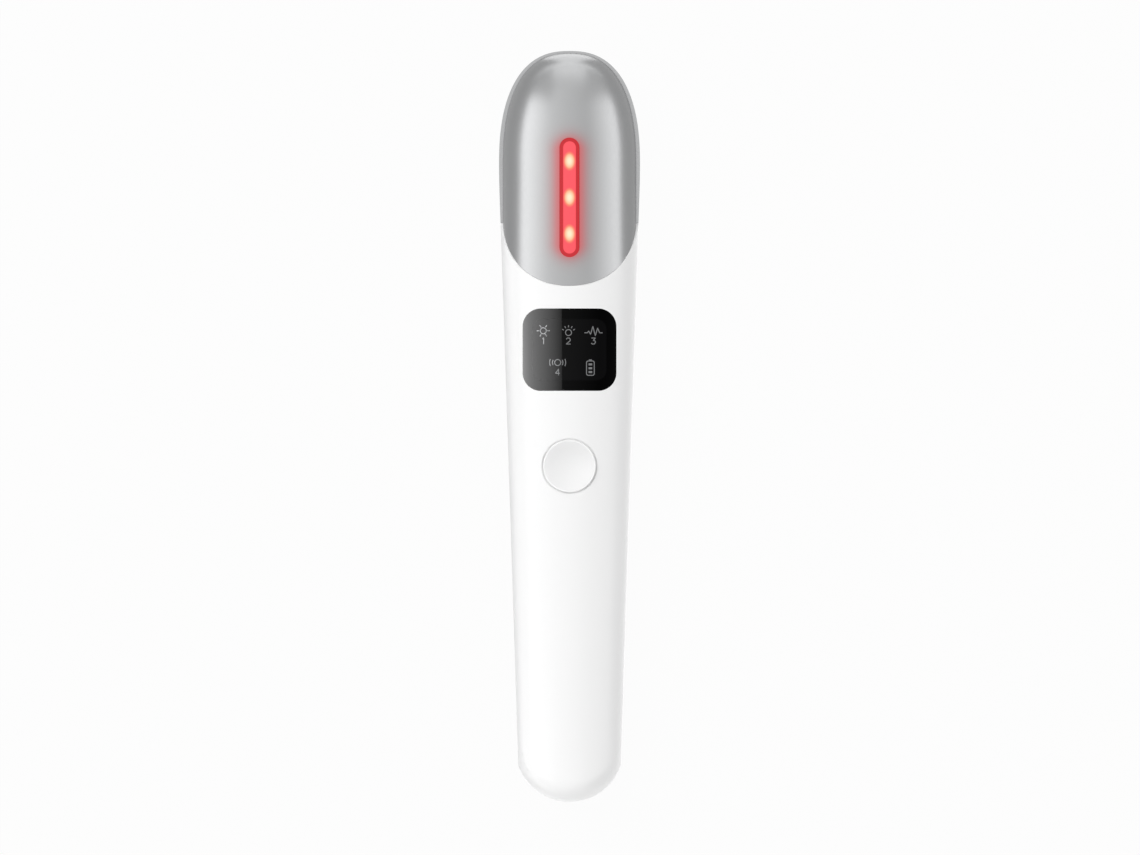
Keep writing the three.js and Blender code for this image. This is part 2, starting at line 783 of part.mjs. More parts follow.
// The vibration motor, whose shaft runs along Y
function motorCan() {
  const inner = motor.radius - motor.can_wall;
  const bore = motor.shaft_radius + motor.bore_gap;
  const profile = [
    [inner, can_low_y],
    [motor.radius, can_low_y],
    [motor.radius, can_high_y],
    [bore, can_high_y],
    [bore, can_high_y - motor.can_wall],
    [inner, can_high_y - motor.can_wall],
  ];
  return turnedAlongY(closed(profile), 0, motor_z);
}

function ringAlongY(outer, inner, low_y, high_y, sides = 20) {
  const profile = [
    [inner, low_y],
    [outer, low_y],
    [outer, high_y],
    [inner, high_y],
  ];
  return turnedAlongY(inner > 0 ? closed(profile) : profile, 0, motor_z, sides);
}

const magnet_outer = motor.radius - motor.can_wall - motor.bore_gap;
const magnet_inner = magnet_outer - motor.magnet_thickness;
const armature_radius = magnet_inner - motor.running_gap;
const coil_centre_y = (can_low_y + can_high_y) / 2;
const motor_bore = motor.shaft_radius + motor.bore_gap;

function motorArmature() {
  const low_y = coil_centre_y - motor.armature_length / 2;
  const high_y = coil_centre_y + motor.armature_length / 2;
  let armature = ringAlongY(armature_radius, motor_bore, low_y, high_y);
  const groove = armature_radius * armature_groove_share;
  for (let pole = 0; pole < armature_poles; pole++) {
    const angle = (2 * Math.PI * pole) / armature_poles;
    const x = armature_radius * Math.cos(angle);
    const z = motor_z + armature_radius * Math.sin(angle);
    const cutter = [
      [0, far_low_y],
      [groove, far_low_y],
      [groove, far_high_y],
      [0, far_high_y],
    ];
    armature = armature.subtract(turnedAlongY(cutter, x, z, 8));
  }
  return armature;
}

function eccentricWeight() {
  const low_y = can_high_y + motor.weight_gap;
  const high_y = low_y + motor.weight_length;
  const outline = new THREE.Shape();
  outline.absarc(0, motor_z, motor.weight_hub_radius, 0, Math.PI, false);
  outline.lineTo(-motor.weight_radius, motor_z);
  outline.absarc(0, motor_z, motor.weight_radius, Math.PI, 2 * Math.PI, false);
  outline.lineTo(motor.weight_hub_radius, motor_z);
  const weight = lengthways(outline, low_y, high_y, 5);
  return weight.subtract(ringAlongY(motor_bore, 0, far_low_y, far_high_y, 12));
}

const weight_high_y = can_high_y + motor.weight_gap + motor.weight_length;

function motorSleeve() {
  const width = 2 * sleeve_half;
  const outline = roundedOutline(0, motor_z, width, width, motor_sleeve.wall);
  const block = lengthways(outline, sleeve_low_y, sleeve_low_y + motor_sleeve.length);
  const bore = ringAlongY(motor.radius + close_gap, 0, far_low_y, far_high_y, 32);
  return block.subtract(bore);
}

// A screw along Z with its head at the bottom and a cross recess, standing on the level z = 0
function screwAlongZ({ shank_radius, head_radius, head_height }, shank_length) {
  const tip = shank_radius / 2;
  const profile = [
    [0, 0],
    [head_radius, 0],
    [head_radius, head_height],
    [shank_radius, head_height],
    [shank_radius, head_height + shank_length - tip],
    [tip, head_height + shank_length],
    [0, head_height + shank_length],
  ];
  let screw = turnedAlongZ(profile, 0, 0, 10);
  const reach = 2 * head_radius * recess_reach_share;
  const width = head_radius * recess_width_share;
  const depth = head_height * recess_depth_share;
  screw = screw.subtract(boxBetween([-reach / 2, -width / 2, -depth], [reach / 2, width / 2, depth]));
  return screw.subtract(boxBetween([-width / 2, -reach / 2, -depth], [width / 2, reach / 2, depth]));
}

// The display
function displayWindow() {
  const column = prism(windowOutline(0), seam_height, far_high_z);
  return form(0).subtract(form(display.thickness)).intersect(column);
}

const film_inset = display.thickness + close_gap;
const light_box_inset = film_inset + icon_film.thickness + close_gap;

function iconFilm() {
  const outline = windowOutline(-display.ledge_width - close_gap);
  return form(film_inset)
    .subtract(form(film_inset + icon_film.thickness))
    .intersect(prism(outline, seam_height, far_high_z));
}

const icon_places = icon_shares.map(([across, along]) => [
  (across * display.width) / 2,
  display_y + (along * display.height) / 2,
]);

function iconLightBox() {
  const outline = windowOutline(-display.ledge_width - light_box.margin);
  let box = prism(outline, board_top_z + light_box.floor_gap, far_high_z).intersect(form(light_box_inset));
  for (const [x, y] of icon_places) {
    const cell = roundedOutline(x, y, icon_cell.width, icon_cell.length, icon_cell.corner_radius);
    box = box.subtract(prism(cell, 0, far_high_z, 1));
  }
  return box;
}

// The button: a dished cap whose rim follows a part of the casing's curve, with a flange that holds it in
function buttonCap() {
  const top_z = frontZ(0, button_y) + button.proud;
  const dish_radius = button.radius - button.rim_width;
  const low_z = plunger_top_z + solder_gap;
  const cavity_z = top_z - button.dish_depth - button.top_wall;
  const inner_radius = button.radius - button.skirt_wall;
  const dish = dish_radius_shares.map((share) => [
    dish_radius * share,
    top_z - button.dish_depth * (1 - share * share),
    button_follow_share * share,
  ]);
  const profile = [
    ...dish,
    [dish_radius, top_z, button_follow_share],
    [button.radius - button.edge_round, top_z, button_follow_share],
    [button.radius, top_z - button.edge_round, button_follow_share],
    [button.radius, low_z + button.flange_thickness, 0],
    [button_flange_radius, low_z + button.flange_thickness, 0],
    [button_flange_radius, low_z, 0],
    [inner_radius, low_z, 0],
    [inner_radius, cavity_z, 0],
    [button.stem_radius, cavity_z, 0],
    [button.stem_radius, low_z, 0],
  ];
  return followingTurn(profile, top_z - button.dish_depth, low_z, 0, button_y, 36);
}

// A profile of radius, height and follow share, turned about Z. Heights drop with the casing's curve by
// the follow share. The profile runs from beside the axis at the top to beside the axis at the bottom.
function followingTurn(profile, top_z, bottom_z, x, y, sides) {
  const axis_z = frontZ(x, y);
  const ring = ([radius, z, follow]) => {
    const points = [];
    for (let side = 0; side < sides; side++) {
      const angle = (2 * Math.PI * side) / sides;
      const px = x + radius * Math.cos(angle);
      const py = y + radius * Math.sin(angle);
      points.push([px, py, z + follow * (frontZ(px, py) - axis_z)]);
    }
    return points;
  };
  const rings = profile.map(ring);
  const triangles = [];
  for (let side = 0; side < sides; side++) {
    const next = (side + 1) % sides;
    triangles.push([x, y, top_z], rings[0][side], rings[0][next]);
    for (let place = 0; place + 1 < rings.length; place++) {
      const upper = rings[place];
      const lower = rings[place + 1];
      triangles.push(upper[side], lower[side], upper[next]);
      triangles.push(upper[next], lower[side], lower[next]);
    }
    const last = rings[rings.length - 1];
    triangles.push([x, y, bottom_z], last[next], last[side]);
  }
  const geometry = new THREE.BufferGeometry();
  geometry.setAttribute("position", new THREE.Float32BufferAttribute(triangles.flat(), 3));
  return solidOf(geometry);
}

function switchBody() {
  const outline = roundedOutline(0, button_y, tact.width, tact.width, tact.corner_radius);
  const well_z = switch_top_z - tact.plunger_depth - button.travel - close_gap;
  const well = bar(tact.plunger_radius + close_gap, 0, button_y, well_z, far_high_z, 20);
  return prism(outline, switch_low_z, switch_top_z, 1).subtract(well);
}

function switchPlunger() {
  return bar(tact.plunger_radius, 0, button_y, switch_top_z - tact.plunger_depth, plunger_top_z, 20);
}

// The main board and its pieces
function mainBoard() {
  let slab_solid = boxBetween(
    [-far_x, board_tail_end_y, board_bottom_z],
    [far_x, board_head_end_y, board_top_z],
  ).intersect(form(wall + board.edge_gap));
  for (const y of board_screw_ys) {
    slab_solid = slab_solid.subtract(bar(board_screw.shank_radius + solder_gap, 0, y, 0, far_high_z, 12));
  }
  return slab_solid.subtract(bar(front_boss_radius + fit_gap, 0, tail_screw_y, 0, far_high_z, 20));
}

const chip_low_z = board_top_z + solder_gap;

function controllerChip() {
  const outline = roundedOutline(0, alongBoard(mcu_share), mcu.width, mcu.length, mcu.corner_radius);
  return prism(outline, chip_low_z, chip_low_z + mcu.height, 1);
}

function chargerChip() {
  const y = alongBoard(inductor_share);
  const rise = chip_low_z + charger.rise;
  let chip = boxOn(charger.x, y, rise, charger.width, charger.length, charger.height);
  for (let lead = 0; lead < charger_lead.per_side; lead++) {
    const lead_y = y + (lead - (charger_lead.per_side - 1) / 2) * charger_lead.pitch;
    const span = charger.width + 2 * charger_lead.reach;
    chip = chip.add(boxOn(charger.x, lead_y, chip_low_z, span, charger_lead.width, charger_lead.height));
  }
  return chip;
}

function boostInductor() {
  const low_z = chip_low_z;
  const high_z = chip_low_z + inductor.height;
  const profile = [
    [0, low_z],
    [inductor.radius, low_z],
    [inductor.radius, low_z + inductor.flange_height],
    [inductor.core_radius, low_z + inductor.flange_height],
    [inductor.core_radius, high_z - inductor.flange_height],
    [inductor.radius, high_z - inductor.flange_height],
    [inductor.radius, high_z],
    [0, high_z],
  ];
  return turnedAlongZ(profile, inductor.x, alongBoard(inductor_share), 16);
}

function filterCapacitor() {
  const low_z = chip_low_z;
  const high_z = chip_low_z + capacitor.height;
  const crimp_z = low_z + 2 * capacitor.base_height;
  const profile = [
    [0, low_z],
    [capacitor.radius, low_z],
    [capacitor.radius, low_z + capacitor.base_height],
    [capacitor.radius - capacitor.crimp_depth, crimp_z],
    [capacitor.radius, crimp_z + capacitor.base_height / 2],
    [capacitor.radius, high_z - capacitor.crimp_depth],
    [capacitor.radius - capacitor.crimp_depth, high_z],
    [0, high_z],
  ];
  return turnedAlongZ(profile, capacitor.x, alongBoard(low_screw_share), 14);
}

// The battery and its pieces
const battery_height = battery_high_z - battery_low_z;
const battery_middle_z = (battery_high_z + battery_low_z) / 2;

function batteryCell() {
  const outline = roundedOutline(0, battery_middle_z, battery.width, battery_height, battery.corner_radius);
  return lengthways(outline, battery_low_y, battery_high_y).intersect(form(wall + fit_gap));
}

function batteryFoam() {
  const y = (battery_low_y + battery_high_y) / 2;
  return boxOn(0, y, shell_floor_z + close_gap, foam.width, foam.length, foam.thickness).intersect(
    form(wall + close_gap),
  );
}

const battery_plug_x = contact_pin.barrel_radius + wire_clearance + battery_plug.width / 2;
const battery_plug_low_y = pin_y + battery_plug.from_pin;
const battery_plug_high_z = board_bottom_z - solder_gap;
const battery_plug_low_z = battery_plug_high_z - battery_plug.height;
const battery_plug_z = (battery_plug_low_z + battery_plug_high_z) / 2;

function batteryPlug() {
  const high_y = battery_plug_low_y + battery_plug.length;
  const half = battery_plug.width / 2;
  const low = [battery_plug_x - half, battery_plug_low_y, battery_plug_low_z];
  const high = [battery_plug_x + half, high_y, battery_plug_high_z];
  const mouth_low = [low[0] + battery_plug.shell, low[1] - cut_overrun, low[2] + battery_plug.shell];
  const mouth_high = [
    high[0] - battery_plug.shell,
    low[1] + battery_plug.mouth_depth,
    high[2] - battery_plug.shell,
  ];
  return boxBetween(low, high).subtract(boxBetween(mouth_low, mouth_high));
}

// Two leads run from the end of the battery into its plug
function batteryLead(lane) {
  const lane_step = wire_radius + close_gap;
  const plug_x = battery_plug_x + lane * lane_step;
  const start_x = battery_plug_x - wire_clearance + lane * 2 * lane_step;
  const start_y = battery_high_y + close_gap;
  const end_y = battery_plug_low_y + battery_plug.mouth_depth - close_gap;
  return wire([
    [start_x, start_y, battery_middle_z + wire_clearance],
    [start_x, start_y + wire_clearance, battery_middle_z + wire_clearance],
    [plug_x, battery_plug_low_y - wire_clearance, battery_plug_z],
    [plug_x, end_y, battery_plug_z],
  ]);
}

// The charging socket
function usbShell() {
  const bore = lengthways(usbOutline(-usb.shell), far_low_y, far_high_y);
  return lengthways(usbOutline(0), usb_mouth_y, usb_back_y).subtract(bore);
}

function usbTongue() {
  const inner_width = usb.width - 2 * usb.shell - 2 * close_gap;
  const inner_height = usb.height - 2 * usb.shell - 2 * close_gap;
  const radius = usb.corner_radius - usb.shell - close_gap;
  const outline = roundedOutline(0, seam_height, inner_width, inner_height, radius);
  const block = lengthways(outline, usb_back_y - usb.block_length, usb_back_y);
  const low_z = seam_height - usb.tongue_thickness / 2;
  const tongue = boxBetween(
    [-usb.tongue_width / 2, usb_mouth_y + usb.tongue_set_back, low_z],
    [usb.tongue_width / 2, usb_back_y, low_z + usb.tongue_thickness],
  );
  return block.add(tongue);
}

// The return electrode, its pin and the plugs over the casing's screws
function rearElectrode() {
  return prism(electrodeOutline(0), electrode.set_back, electrode_top_z, 4);
}

function contactPin() {
  const high_z = board_bottom_z - solder_gap;
  const shoulder_z = high_z - (high_z - pin_low_z) * pin_barrel_share;
  const profile = [
    [0, pin_low_z],
    [contact_pin.tip_radius, pin_low_z],
    [contact_pin.tip_radius, shoulder_z],
    [contact_pin.barrel_radius, shoulder_z],
    [contact_pin.barrel_radius, high_z],
    [0, high_z],
  ];
  return turnedAlongZ(profile, 0, pin_y, 14);
}

const plug_radius = shell_screw.head_radius + fit_gap - plug.gap;

// Leads of the head: one to the metal plate, two to the motor, and the flat ribbon to the light board
const head_lead_x = led_board.width / 2 + 2 * wire_clearance + wire_radius;
const head_lead_y = cutY(plateZ(head_lead_x, side_cut_y, wall)) + 2 * wire_clearance + wire_radius;

function leadPassage() {
  const radius = wire_radius + 2 * fit_gap;
  return bar(radius, head_lead_x, head_lead_y, seam_height, far_high_z, 12);
}

function headLead() {
  const end_z = plateZ(head_lead_x + wire_radius, head_lead_y, plate.thickness) - close_gap;
  const low_z = board_top_z + wire_radius + solder_gap;
  const start_y = board_head_end_y - wire_clearance;
  const under_y = cutY(plateZ(head_lead_x, side_cut_y, carrier_inset + carrier.thickness)) - wire_radius;
  return wire([
    [head_lead_x, start_y, low_z],
    [head_lead_x, start_y + 2 * wire_clearance, low_z + fit_gap],
    [head_lead_x, (start_y + under_y) / 2, (low_z + end_z) / 2 - wire_clearance],
    [head_lead_x, head_lead_y, end_z - 3 * wire_clearance],
    [head_lead_x, head_lead_y, end_z],
  ]);
}

function motorLead(side) {
  const beside_x = side * (shell_boss_radius + wire_clearance + wire_radius);
  return wire([
    [side * motor.radius / 2, motor_low_y - close_gap, motor_z + wire_clearance],
    [side * motor.radius / 2, motor_low_y - wire_clearance, motor_z + wire_clearance],
    [beside_x, neck_screw_y, motor_z + 3 * wire_clearance],
    [beside_x, board_head_end_y - 3 * wire_clearance, board_bottom_z - 2 * wire_clearance],
    [beside_x, board_head_end_y - 3 * wire_clearance, board_bottom_z - close_gap],
  ]);
}

// A thin band along a line of points in Y and Z
function bandOutline(points, thickness) {
  const upper = [];
  const lower = [];
  points.forEach(([y, z], index) => {
    const before = points[Math.max(index - 1, 0)];
    const after = points[Math.min(index + 1, points.length - 1)];
    const run = Math.hypot(after[0] - before[0], after[1] - before[1]);
    const across_y = (-(after[1] - before[1]) / run) * (thickness / 2);
    const across_z = ((after[0] - before[0]) / run) * (thickness / 2);
    upper.push([y + across_y, z + across_z]);
    lower.push([y - across_y, z - across_z]);
  });
  return polygon([...lower, ...upper.reverse()]);
}

function ledRibbon() {
  const half = ribbon.thickness / 2;
  const low_z = board_top_z + solder_gap + half;
  const high_z = led_board_bottom_z - solder_gap - half;
  const low_y = board_head_end_y - fit_gap;
  const high_y = led_board_low_y + fit_gap;
  const reach = (high_y - low_y) / 2;
  const curve = new THREE.CubicBezierCurve(
    new THREE.Vector2(low_y, low_z),
    new THREE.Vector2(low_y + reach, low_z),
    new THREE.Vector2(high_y - reach, high_z),
    new THREE.Vector2(high_y, high_z),
  );
  const points = [
    [low_y - ribbon.land_length, low_z],
    ...curve.getPoints(12).map((point) => [point.x, point.y]),
    [high_y + ribbon.land_length, high_z],
  ];
  const outline = bandOutline(points, ribbon.thickness);
  return sideways(outline, ribbon.x - ribbon.width / 2, ribbon.x + ribbon.width / 2);
}

// Finishes: colour, roughness and metalness
const finishes = {
  white_gloss: [0xf4f4f3, 0.18, 0],
  white_button: [0xf6f6f5, 0.25, 0],
  satin_silver: [0xc4c6c7, 0.3, 1],
  silver_ring: [0xbdbfc0, 0.35, 0.6],
  red_light: [0xff3a46, 0.25, 0],
  black_glass: [0x0a0a0c, 0.06, 0],
  black_film: [0x111113, 0.6, 0],
  white_plastic: [0xe6e6e2, 0.55, 0],
  grey_plastic: [0x8a8d90, 0.6, 0],
  black_plastic: [0x1c1c1e, 0.5, 0],
  green_board: [0x14573a, 0.45, 0],
  amber_film: [0xb9772a, 0.4, 0],
  warm_led: [0xfff0cd, 0.3, 0],
  steel: [0xa9abad, 0.35, 1],
  brass: [0xc7a34d, 0.35, 1],
  copper: [0xb46a3c, 0.4, 1],
  dark_metal: [0x55585b, 0.45, 1],
  grey_rubber: [0x4a4c4f, 0.85, 0],
  foam: [0x2d2e30, 0.95, 0],
  battery_wrap: [0x9fb4c4, 0.4, 0.2],
  red_wire: [0xb3232a, 0.5, 0],
  black_wire: [0x17181a, 0.5, 0],
};

function mesh(name, finish, solid, x = 0, y = 0, z = 0) {
  const [color, roughness, metalness] = finishes[finish];
  const material = new THREE.MeshStandardMaterial({ color, roughness, metalness });
  const made = new THREE.Mesh(geometryOf(solid), material);
  made.name = name;
  made.position.set(x, y, z);
  return made;
}

function casing() {
  const group = new THREE.Group();
  group.add(mesh("front_shell", "white_gloss", frontShell()));
  group.add(mesh("rear_shell", "white_gloss", rearShell()));
  group.add(mesh("rear_electrode", "satin_silver", rearElectrode()));
  const shank_length = screw_end_z - screw_head_high_z;
  const screw = screwAlongZ(shell_screw, shank_length);
  const screw_plug = bar(plug_radius, 0, 0, 0, plug.thickness, 24);
  shell_screw_ys.forEach((y, index) => {
    group.add(mesh(`shell_screw_${index + 1}`, "steel", screw, 0, y, screw_head_low_z));
    group.add(mesh(`screw_plug_${index + 1}`, "white_gloss", screw_plug, 0, y, plug.set_back));
  });
  return group;
}

function head() {
  const group = new THREE.Group();
  group.add(mesh("head_plate", "satin_silver", headPlate()));
  group.add(mesh("head_bezel", "silver_ring", headBezel()));
  group.add(mesh("light_window", "red_light", lightWindow()));
  group.add(mesh("heater_film", "amber_film", heaterFilm()));
  group.add(mesh("head_carrier", "white_plastic", headCarrier()));
  group.add(mesh("thermistor", "black_plastic", thermistorBead(0)));
  group.add(mesh("led_board", "green_board", ledBoard()));
  const package_solid = ledPackage();
  for (let index = 0; index < led.count; index++) {
    const y = slot_y + ((led.count - 1) / 2 - index) * led.pitch;
    group.add(mesh(`led_${index + 1}`, "warm_led", package_solid, 0, y, led_board_top_z + solder_gap));
  }
  const screw = screwAlongZ(led_board_screw, led_board_screw.shank_length);
  const screw_z = led_board_bottom_z - led_board_screw.head_height;
  group.add(mesh("led_board_screw", "steel", screw, 0, led_screw_y, screw_z));
  group.add(mesh("led_ribbon", "amber_film", ledRibbon()));
  group.add(mesh("head_lead", "red_wire", headLead()));
  return group;
}

function vibrationMotor() {
  const group = new THREE.Group();
  const shaft_low_y = motor_low_y + fit_gap;
  const magnet_low_y = coil_centre_y - motor.magnet_length / 2;
  const magnet = ringAlongY(magnet_outer, magnet_inner, magnet_low_y, magnet_low_y + motor.magnet_length);
  const cap = ringAlongY(motor.radius, motor_bore, motor_low_y, motor_low_y + motor.cap_thickness);
  const shaft = ringAlongY(motor.shaft_radius, 0, shaft_low_y, weight_high_y, 12);
  group.add(mesh("motor_can", "steel", motorCan()));
  group.add(mesh("motor_end_cap", "black_plastic", cap));
  group.add(mesh("motor_magnet", "dark_metal", magnet));
  group.add(mesh("motor_armature", "copper", motorArmature()));
  group.add(mesh("motor_shaft", "steel", shaft));
  group.add(mesh("eccentric_weight", "dark_metal", eccentricWeight()));
  group.add(mesh("motor_sleeve", "grey_rubber", motorSleeve()));
  group.add(mesh("motor_lead_1", "red_wire", motorLead(-1)));
  group.add(mesh("motor_lead_2", "black_wire", motorLead(1)));
  return group;
}

function displayStack() {
  const group = new THREE.Group();
  group.add(mesh("display_window", "black_glass", displayWindow()));
  group.add(mesh("icon_film", "black_film", iconFilm()));
  group.add(mesh("icon_light_box", "white_plastic", iconLightBox()));
  const package_solid = boxOn(0, 0, 0, icon_led.width, icon_led.length, icon_led.height);
  icon_places.forEach(([x, y], index) => {
    group.add(mesh(`icon_led_${index + 1}`, "warm_led", package_solid, x, y, chip_low_z));
  });
  return group;
}

function buttonGroup() {
  const group = new THREE.Group();
  group.add(mesh("button_cap", "white_button", buttonCap()));
  group.add(mesh("switch_plunger", "brass", switchPlunger()));
  return group;
}

function electronics() {
  const group = new THREE.Group();
  group.add(mesh("main_board", "green_board", mainBoard()));
  group.add(mesh("switch_body", "black_plastic", switchBody()));
  group.add(mesh("controller_chip", "black_plastic", controllerChip()));
  group.add(mesh("charger_chip", "black_plastic", chargerChip()));
  group.add(mesh("boost_inductor", "dark_metal", boostInductor()));
  group.add(mesh("filter_capacitor", "steel", filterCapacitor()));
  group.add(mesh("contact_pin", "brass", contactPin()));
  group.add(mesh("usb_shell", "steel", usbShell()));
  group.add(mesh("usb_tongue", "black_plastic", usbTongue()));
  const screw = screwAlongZ(board_screw, board_screw.shank_length);
  const screw_z = board_bottom_z - board_screw.head_height;
  board_screw_ys.forEach((y, index) => {
    group.add(mesh(`board_screw_${index + 1}`, "steel", screw, 0, y, screw_z));
  });
  return group;
}

function powerPack() {
  const group = new THREE.Group();
  group.add(mesh("battery_cell", "battery_wrap", batteryCell()));
  group.add(mesh("battery_foam", "foam", batteryFoam()));
  group.add(mesh("battery_plug", "white_plastic", batteryPlug()));
  group.add(mesh("battery_lead_1", "red_wire", batteryLead(-1)));
  group.add(mesh("battery_lead_2", "black_wire", batteryLead(1)));
  return group;
}

const massager = new THREE.Group();
massager.add(casing());
massager.add(head());
massager.add(vibrationMotor());
massager.add(displayStack());
massager.add(buttonGroup());
massager.add(electronics());
massager.add(powerPack());

export default massager;
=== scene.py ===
import json
import math

import bmesh
import bpy
import numpy as np
from mathutils import Matrix, Vector

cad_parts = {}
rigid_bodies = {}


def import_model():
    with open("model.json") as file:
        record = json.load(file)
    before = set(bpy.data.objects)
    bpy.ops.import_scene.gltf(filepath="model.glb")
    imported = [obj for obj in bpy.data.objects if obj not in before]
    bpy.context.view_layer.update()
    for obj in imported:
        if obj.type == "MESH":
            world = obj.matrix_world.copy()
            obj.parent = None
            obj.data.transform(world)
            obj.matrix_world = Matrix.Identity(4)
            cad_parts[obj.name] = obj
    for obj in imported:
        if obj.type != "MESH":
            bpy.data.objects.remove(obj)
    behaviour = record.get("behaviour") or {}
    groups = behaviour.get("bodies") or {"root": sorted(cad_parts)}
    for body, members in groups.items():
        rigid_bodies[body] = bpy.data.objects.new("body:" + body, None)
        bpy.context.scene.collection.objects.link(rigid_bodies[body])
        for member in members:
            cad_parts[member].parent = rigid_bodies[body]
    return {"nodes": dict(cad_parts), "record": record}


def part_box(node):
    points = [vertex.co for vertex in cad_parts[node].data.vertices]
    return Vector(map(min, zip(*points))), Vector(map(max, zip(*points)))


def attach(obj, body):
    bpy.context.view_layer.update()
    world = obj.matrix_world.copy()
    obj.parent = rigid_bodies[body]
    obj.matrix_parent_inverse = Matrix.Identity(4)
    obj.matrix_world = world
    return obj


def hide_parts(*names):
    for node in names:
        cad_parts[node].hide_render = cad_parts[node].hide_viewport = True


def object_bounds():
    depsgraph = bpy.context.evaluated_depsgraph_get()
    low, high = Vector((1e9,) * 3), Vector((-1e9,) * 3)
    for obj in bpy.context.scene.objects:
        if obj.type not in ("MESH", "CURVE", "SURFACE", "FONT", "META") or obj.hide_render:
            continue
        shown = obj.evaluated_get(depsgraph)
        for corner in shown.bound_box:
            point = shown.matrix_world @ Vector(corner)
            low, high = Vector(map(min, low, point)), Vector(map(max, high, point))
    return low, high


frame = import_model()
cad_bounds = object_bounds()

MM = 0.001

# Outer form, as in the frame
OVERALL_LENGTH = 150.2
HEAD_HALF_WIDTH = 14.1
HEAD_ROUND_LENGTH = 23.0
HEAD_FRONT_HEIGHT = 12.0
HEAD_FRONT_ROUND_LENGTH = 18.1
HEAD_BACK_ROUND_LENGTH = 31.0
TAIL_HALF_WIDTH = 10.25
TAIL_FRONT_HEIGHT = 8.6
TAIL_FRONT_ROUND_LENGTH = 4.5
TAIL_BACK_ROUND_LENGTH = 12.0
WAIST_BLEND_LENGTH = 5.0
SEAM_HEIGHT = 10.0
BACK_CROWN_HEIGHT = 0.45
HEAD_OUTLINE_POWER = 2.45
HEAD_FRONT_POWER = 2.3
HEAD_BACK_POWER = 2.2
TAIL_ROUND_POWER = 2.3
WAIST_POWER = 0.93
FRONT_SECTION_POWER = 2.15
BACK_SECTION_POWER = 2.8
TAIL_CORNER_SHARE = 0.949

# Walls, gaps and pieces, as in the frame
WALL = 2.0
SEAM_GAP = 0.2
CLOSE_GAP = 0.2
FIT_GAP = 0.3
PLATE_THICKNESS = 0.8
PLATE_SIDE_RIM = 0.74
PLATE_TOP_RIM = 0.45
SIDE_CUT_FROM_TOP = 33.3
FRONT_CUT_FROM_TOP = 47.1
BEZEL_RISE = 0.9
BEZEL_DROP = 1.2
BEZEL_WIDTH = 4.0
STRIP_SET_BACK = 0.1
STRIP_CHANNEL_DEPTH = 0.35
STRIP_FLANGE_WIDTH = 1.1
LENS_THICKNESS = 1.1
LENS_LEDGE_WIDTH = 1.2
LENS_CORNER_RADIUS = 3.6
CAP_RADIUS = 5.25
CAP_PROUD = 0.1
CAP_FOLLOW_SHARE = 0.35
CAP_DISH_DEPTH = 1.2
CAP_FLANGE_THICKNESS = 0.7
CAP_SKIRT_WALL = 0.9
CAP_TOP_WALL = 0.8
USB_CORNER_RADIUS = 1.5
USB_WALL = 0.3

# Gaps and edges that only the looks have
HAIRLINE_GAP = 0.12
STRIP_THICKNESS = 1.6
STRIP_FIT = 0.02
STRIP_RIM_WIDTH = 0.72
LENS_FIT = 0.005
CAP_RIM_WIDTH = 0.31
CAP_EDGE_ROUND = 0.22
CAP_CREST_ROUND = 0.16
CAP_CREST_START = 0.86
BUTTON_SHOULDER_DEPTH = 0.36
BUTTON_SHOULDER_FIT = 0.01
PLUG_GAP = 0.15
PLUG_BEVEL = 0.12
ELECTRODE_BEVEL = 0.18

# How finely the surfaces are drawn
SECTION_STEPS = 72
TAIL_RINGS = 26
CORNER_RINGS = 12
BODY_RINGS = 40
HEAD_RINGS = 44
OUTLINE_STEPS = 16
ROUND_STEPS = 128
PLUG_STEPS = 64
DISH_RINGS = 24
CREST_RINGS = 6
EDGE_RINGS = 8
SURFACE_TOLERANCE = 0.03
MERGE_DISTANCE = 0.003
GRADIENT_STEP = 0.002
TINY = 1e-9
SHARP_ANGLE = math.radians(32)
CAP_SHARP_ANGLE = math.radians(50)
BEVEL_ANGLE = math.radians(40)
OVERRUN = 8.0

# Places that follow from the form
TAIL_END_Y = -OVERALL_LENGTH / 2
HEAD_END_Y = OVERALL_LENGTH / 2
HEAD_CENTRE_Y = HEAD_END_Y - HEAD_ROUND_LENGTH
TAIL_ARC_RADIUS = TAIL_HALF_WIDTH / TAIL_CORNER_SHARE
TAIL_ARC_Y = TAIL_END_Y + TAIL_ARC_RADIUS
TAIL_CORNER_ANGLE = math.asin(TAIL_CORNER_SHARE)
TAIL_CORNER_Y = TAIL_ARC_Y - TAIL_ARC_RADIUS * math.cos(TAIL_CORNER_ANGLE)
FAR_X = HEAD_HALF_WIDTH + OVERRUN
FAR_Y = HEAD_END_Y + OVERRUN
FAR_Z = SEAM_HEIGHT + HEAD_FRONT_HEIGHT + OVERRUN


# The outer form as a formula
def rounded_off(distance, length, power):
    share = np.clip(distance / length, 0, 1)
    return (1 - share**power) ** (1 / power)


def taper_share(y):
    """0 at the head's widest section and 1 at the corner of the tail."""
    blend = WAIST_BLEND_LENGTH

    def fall(distance):
        return np.hypot(distance, blend) - blend

    below = np.maximum(HEAD_CENTRE_Y - y, 0)
    return (fall(below) / fall(HEAD_CENTRE_Y - TAIL_CORNER_Y)) ** WAIST_POWER


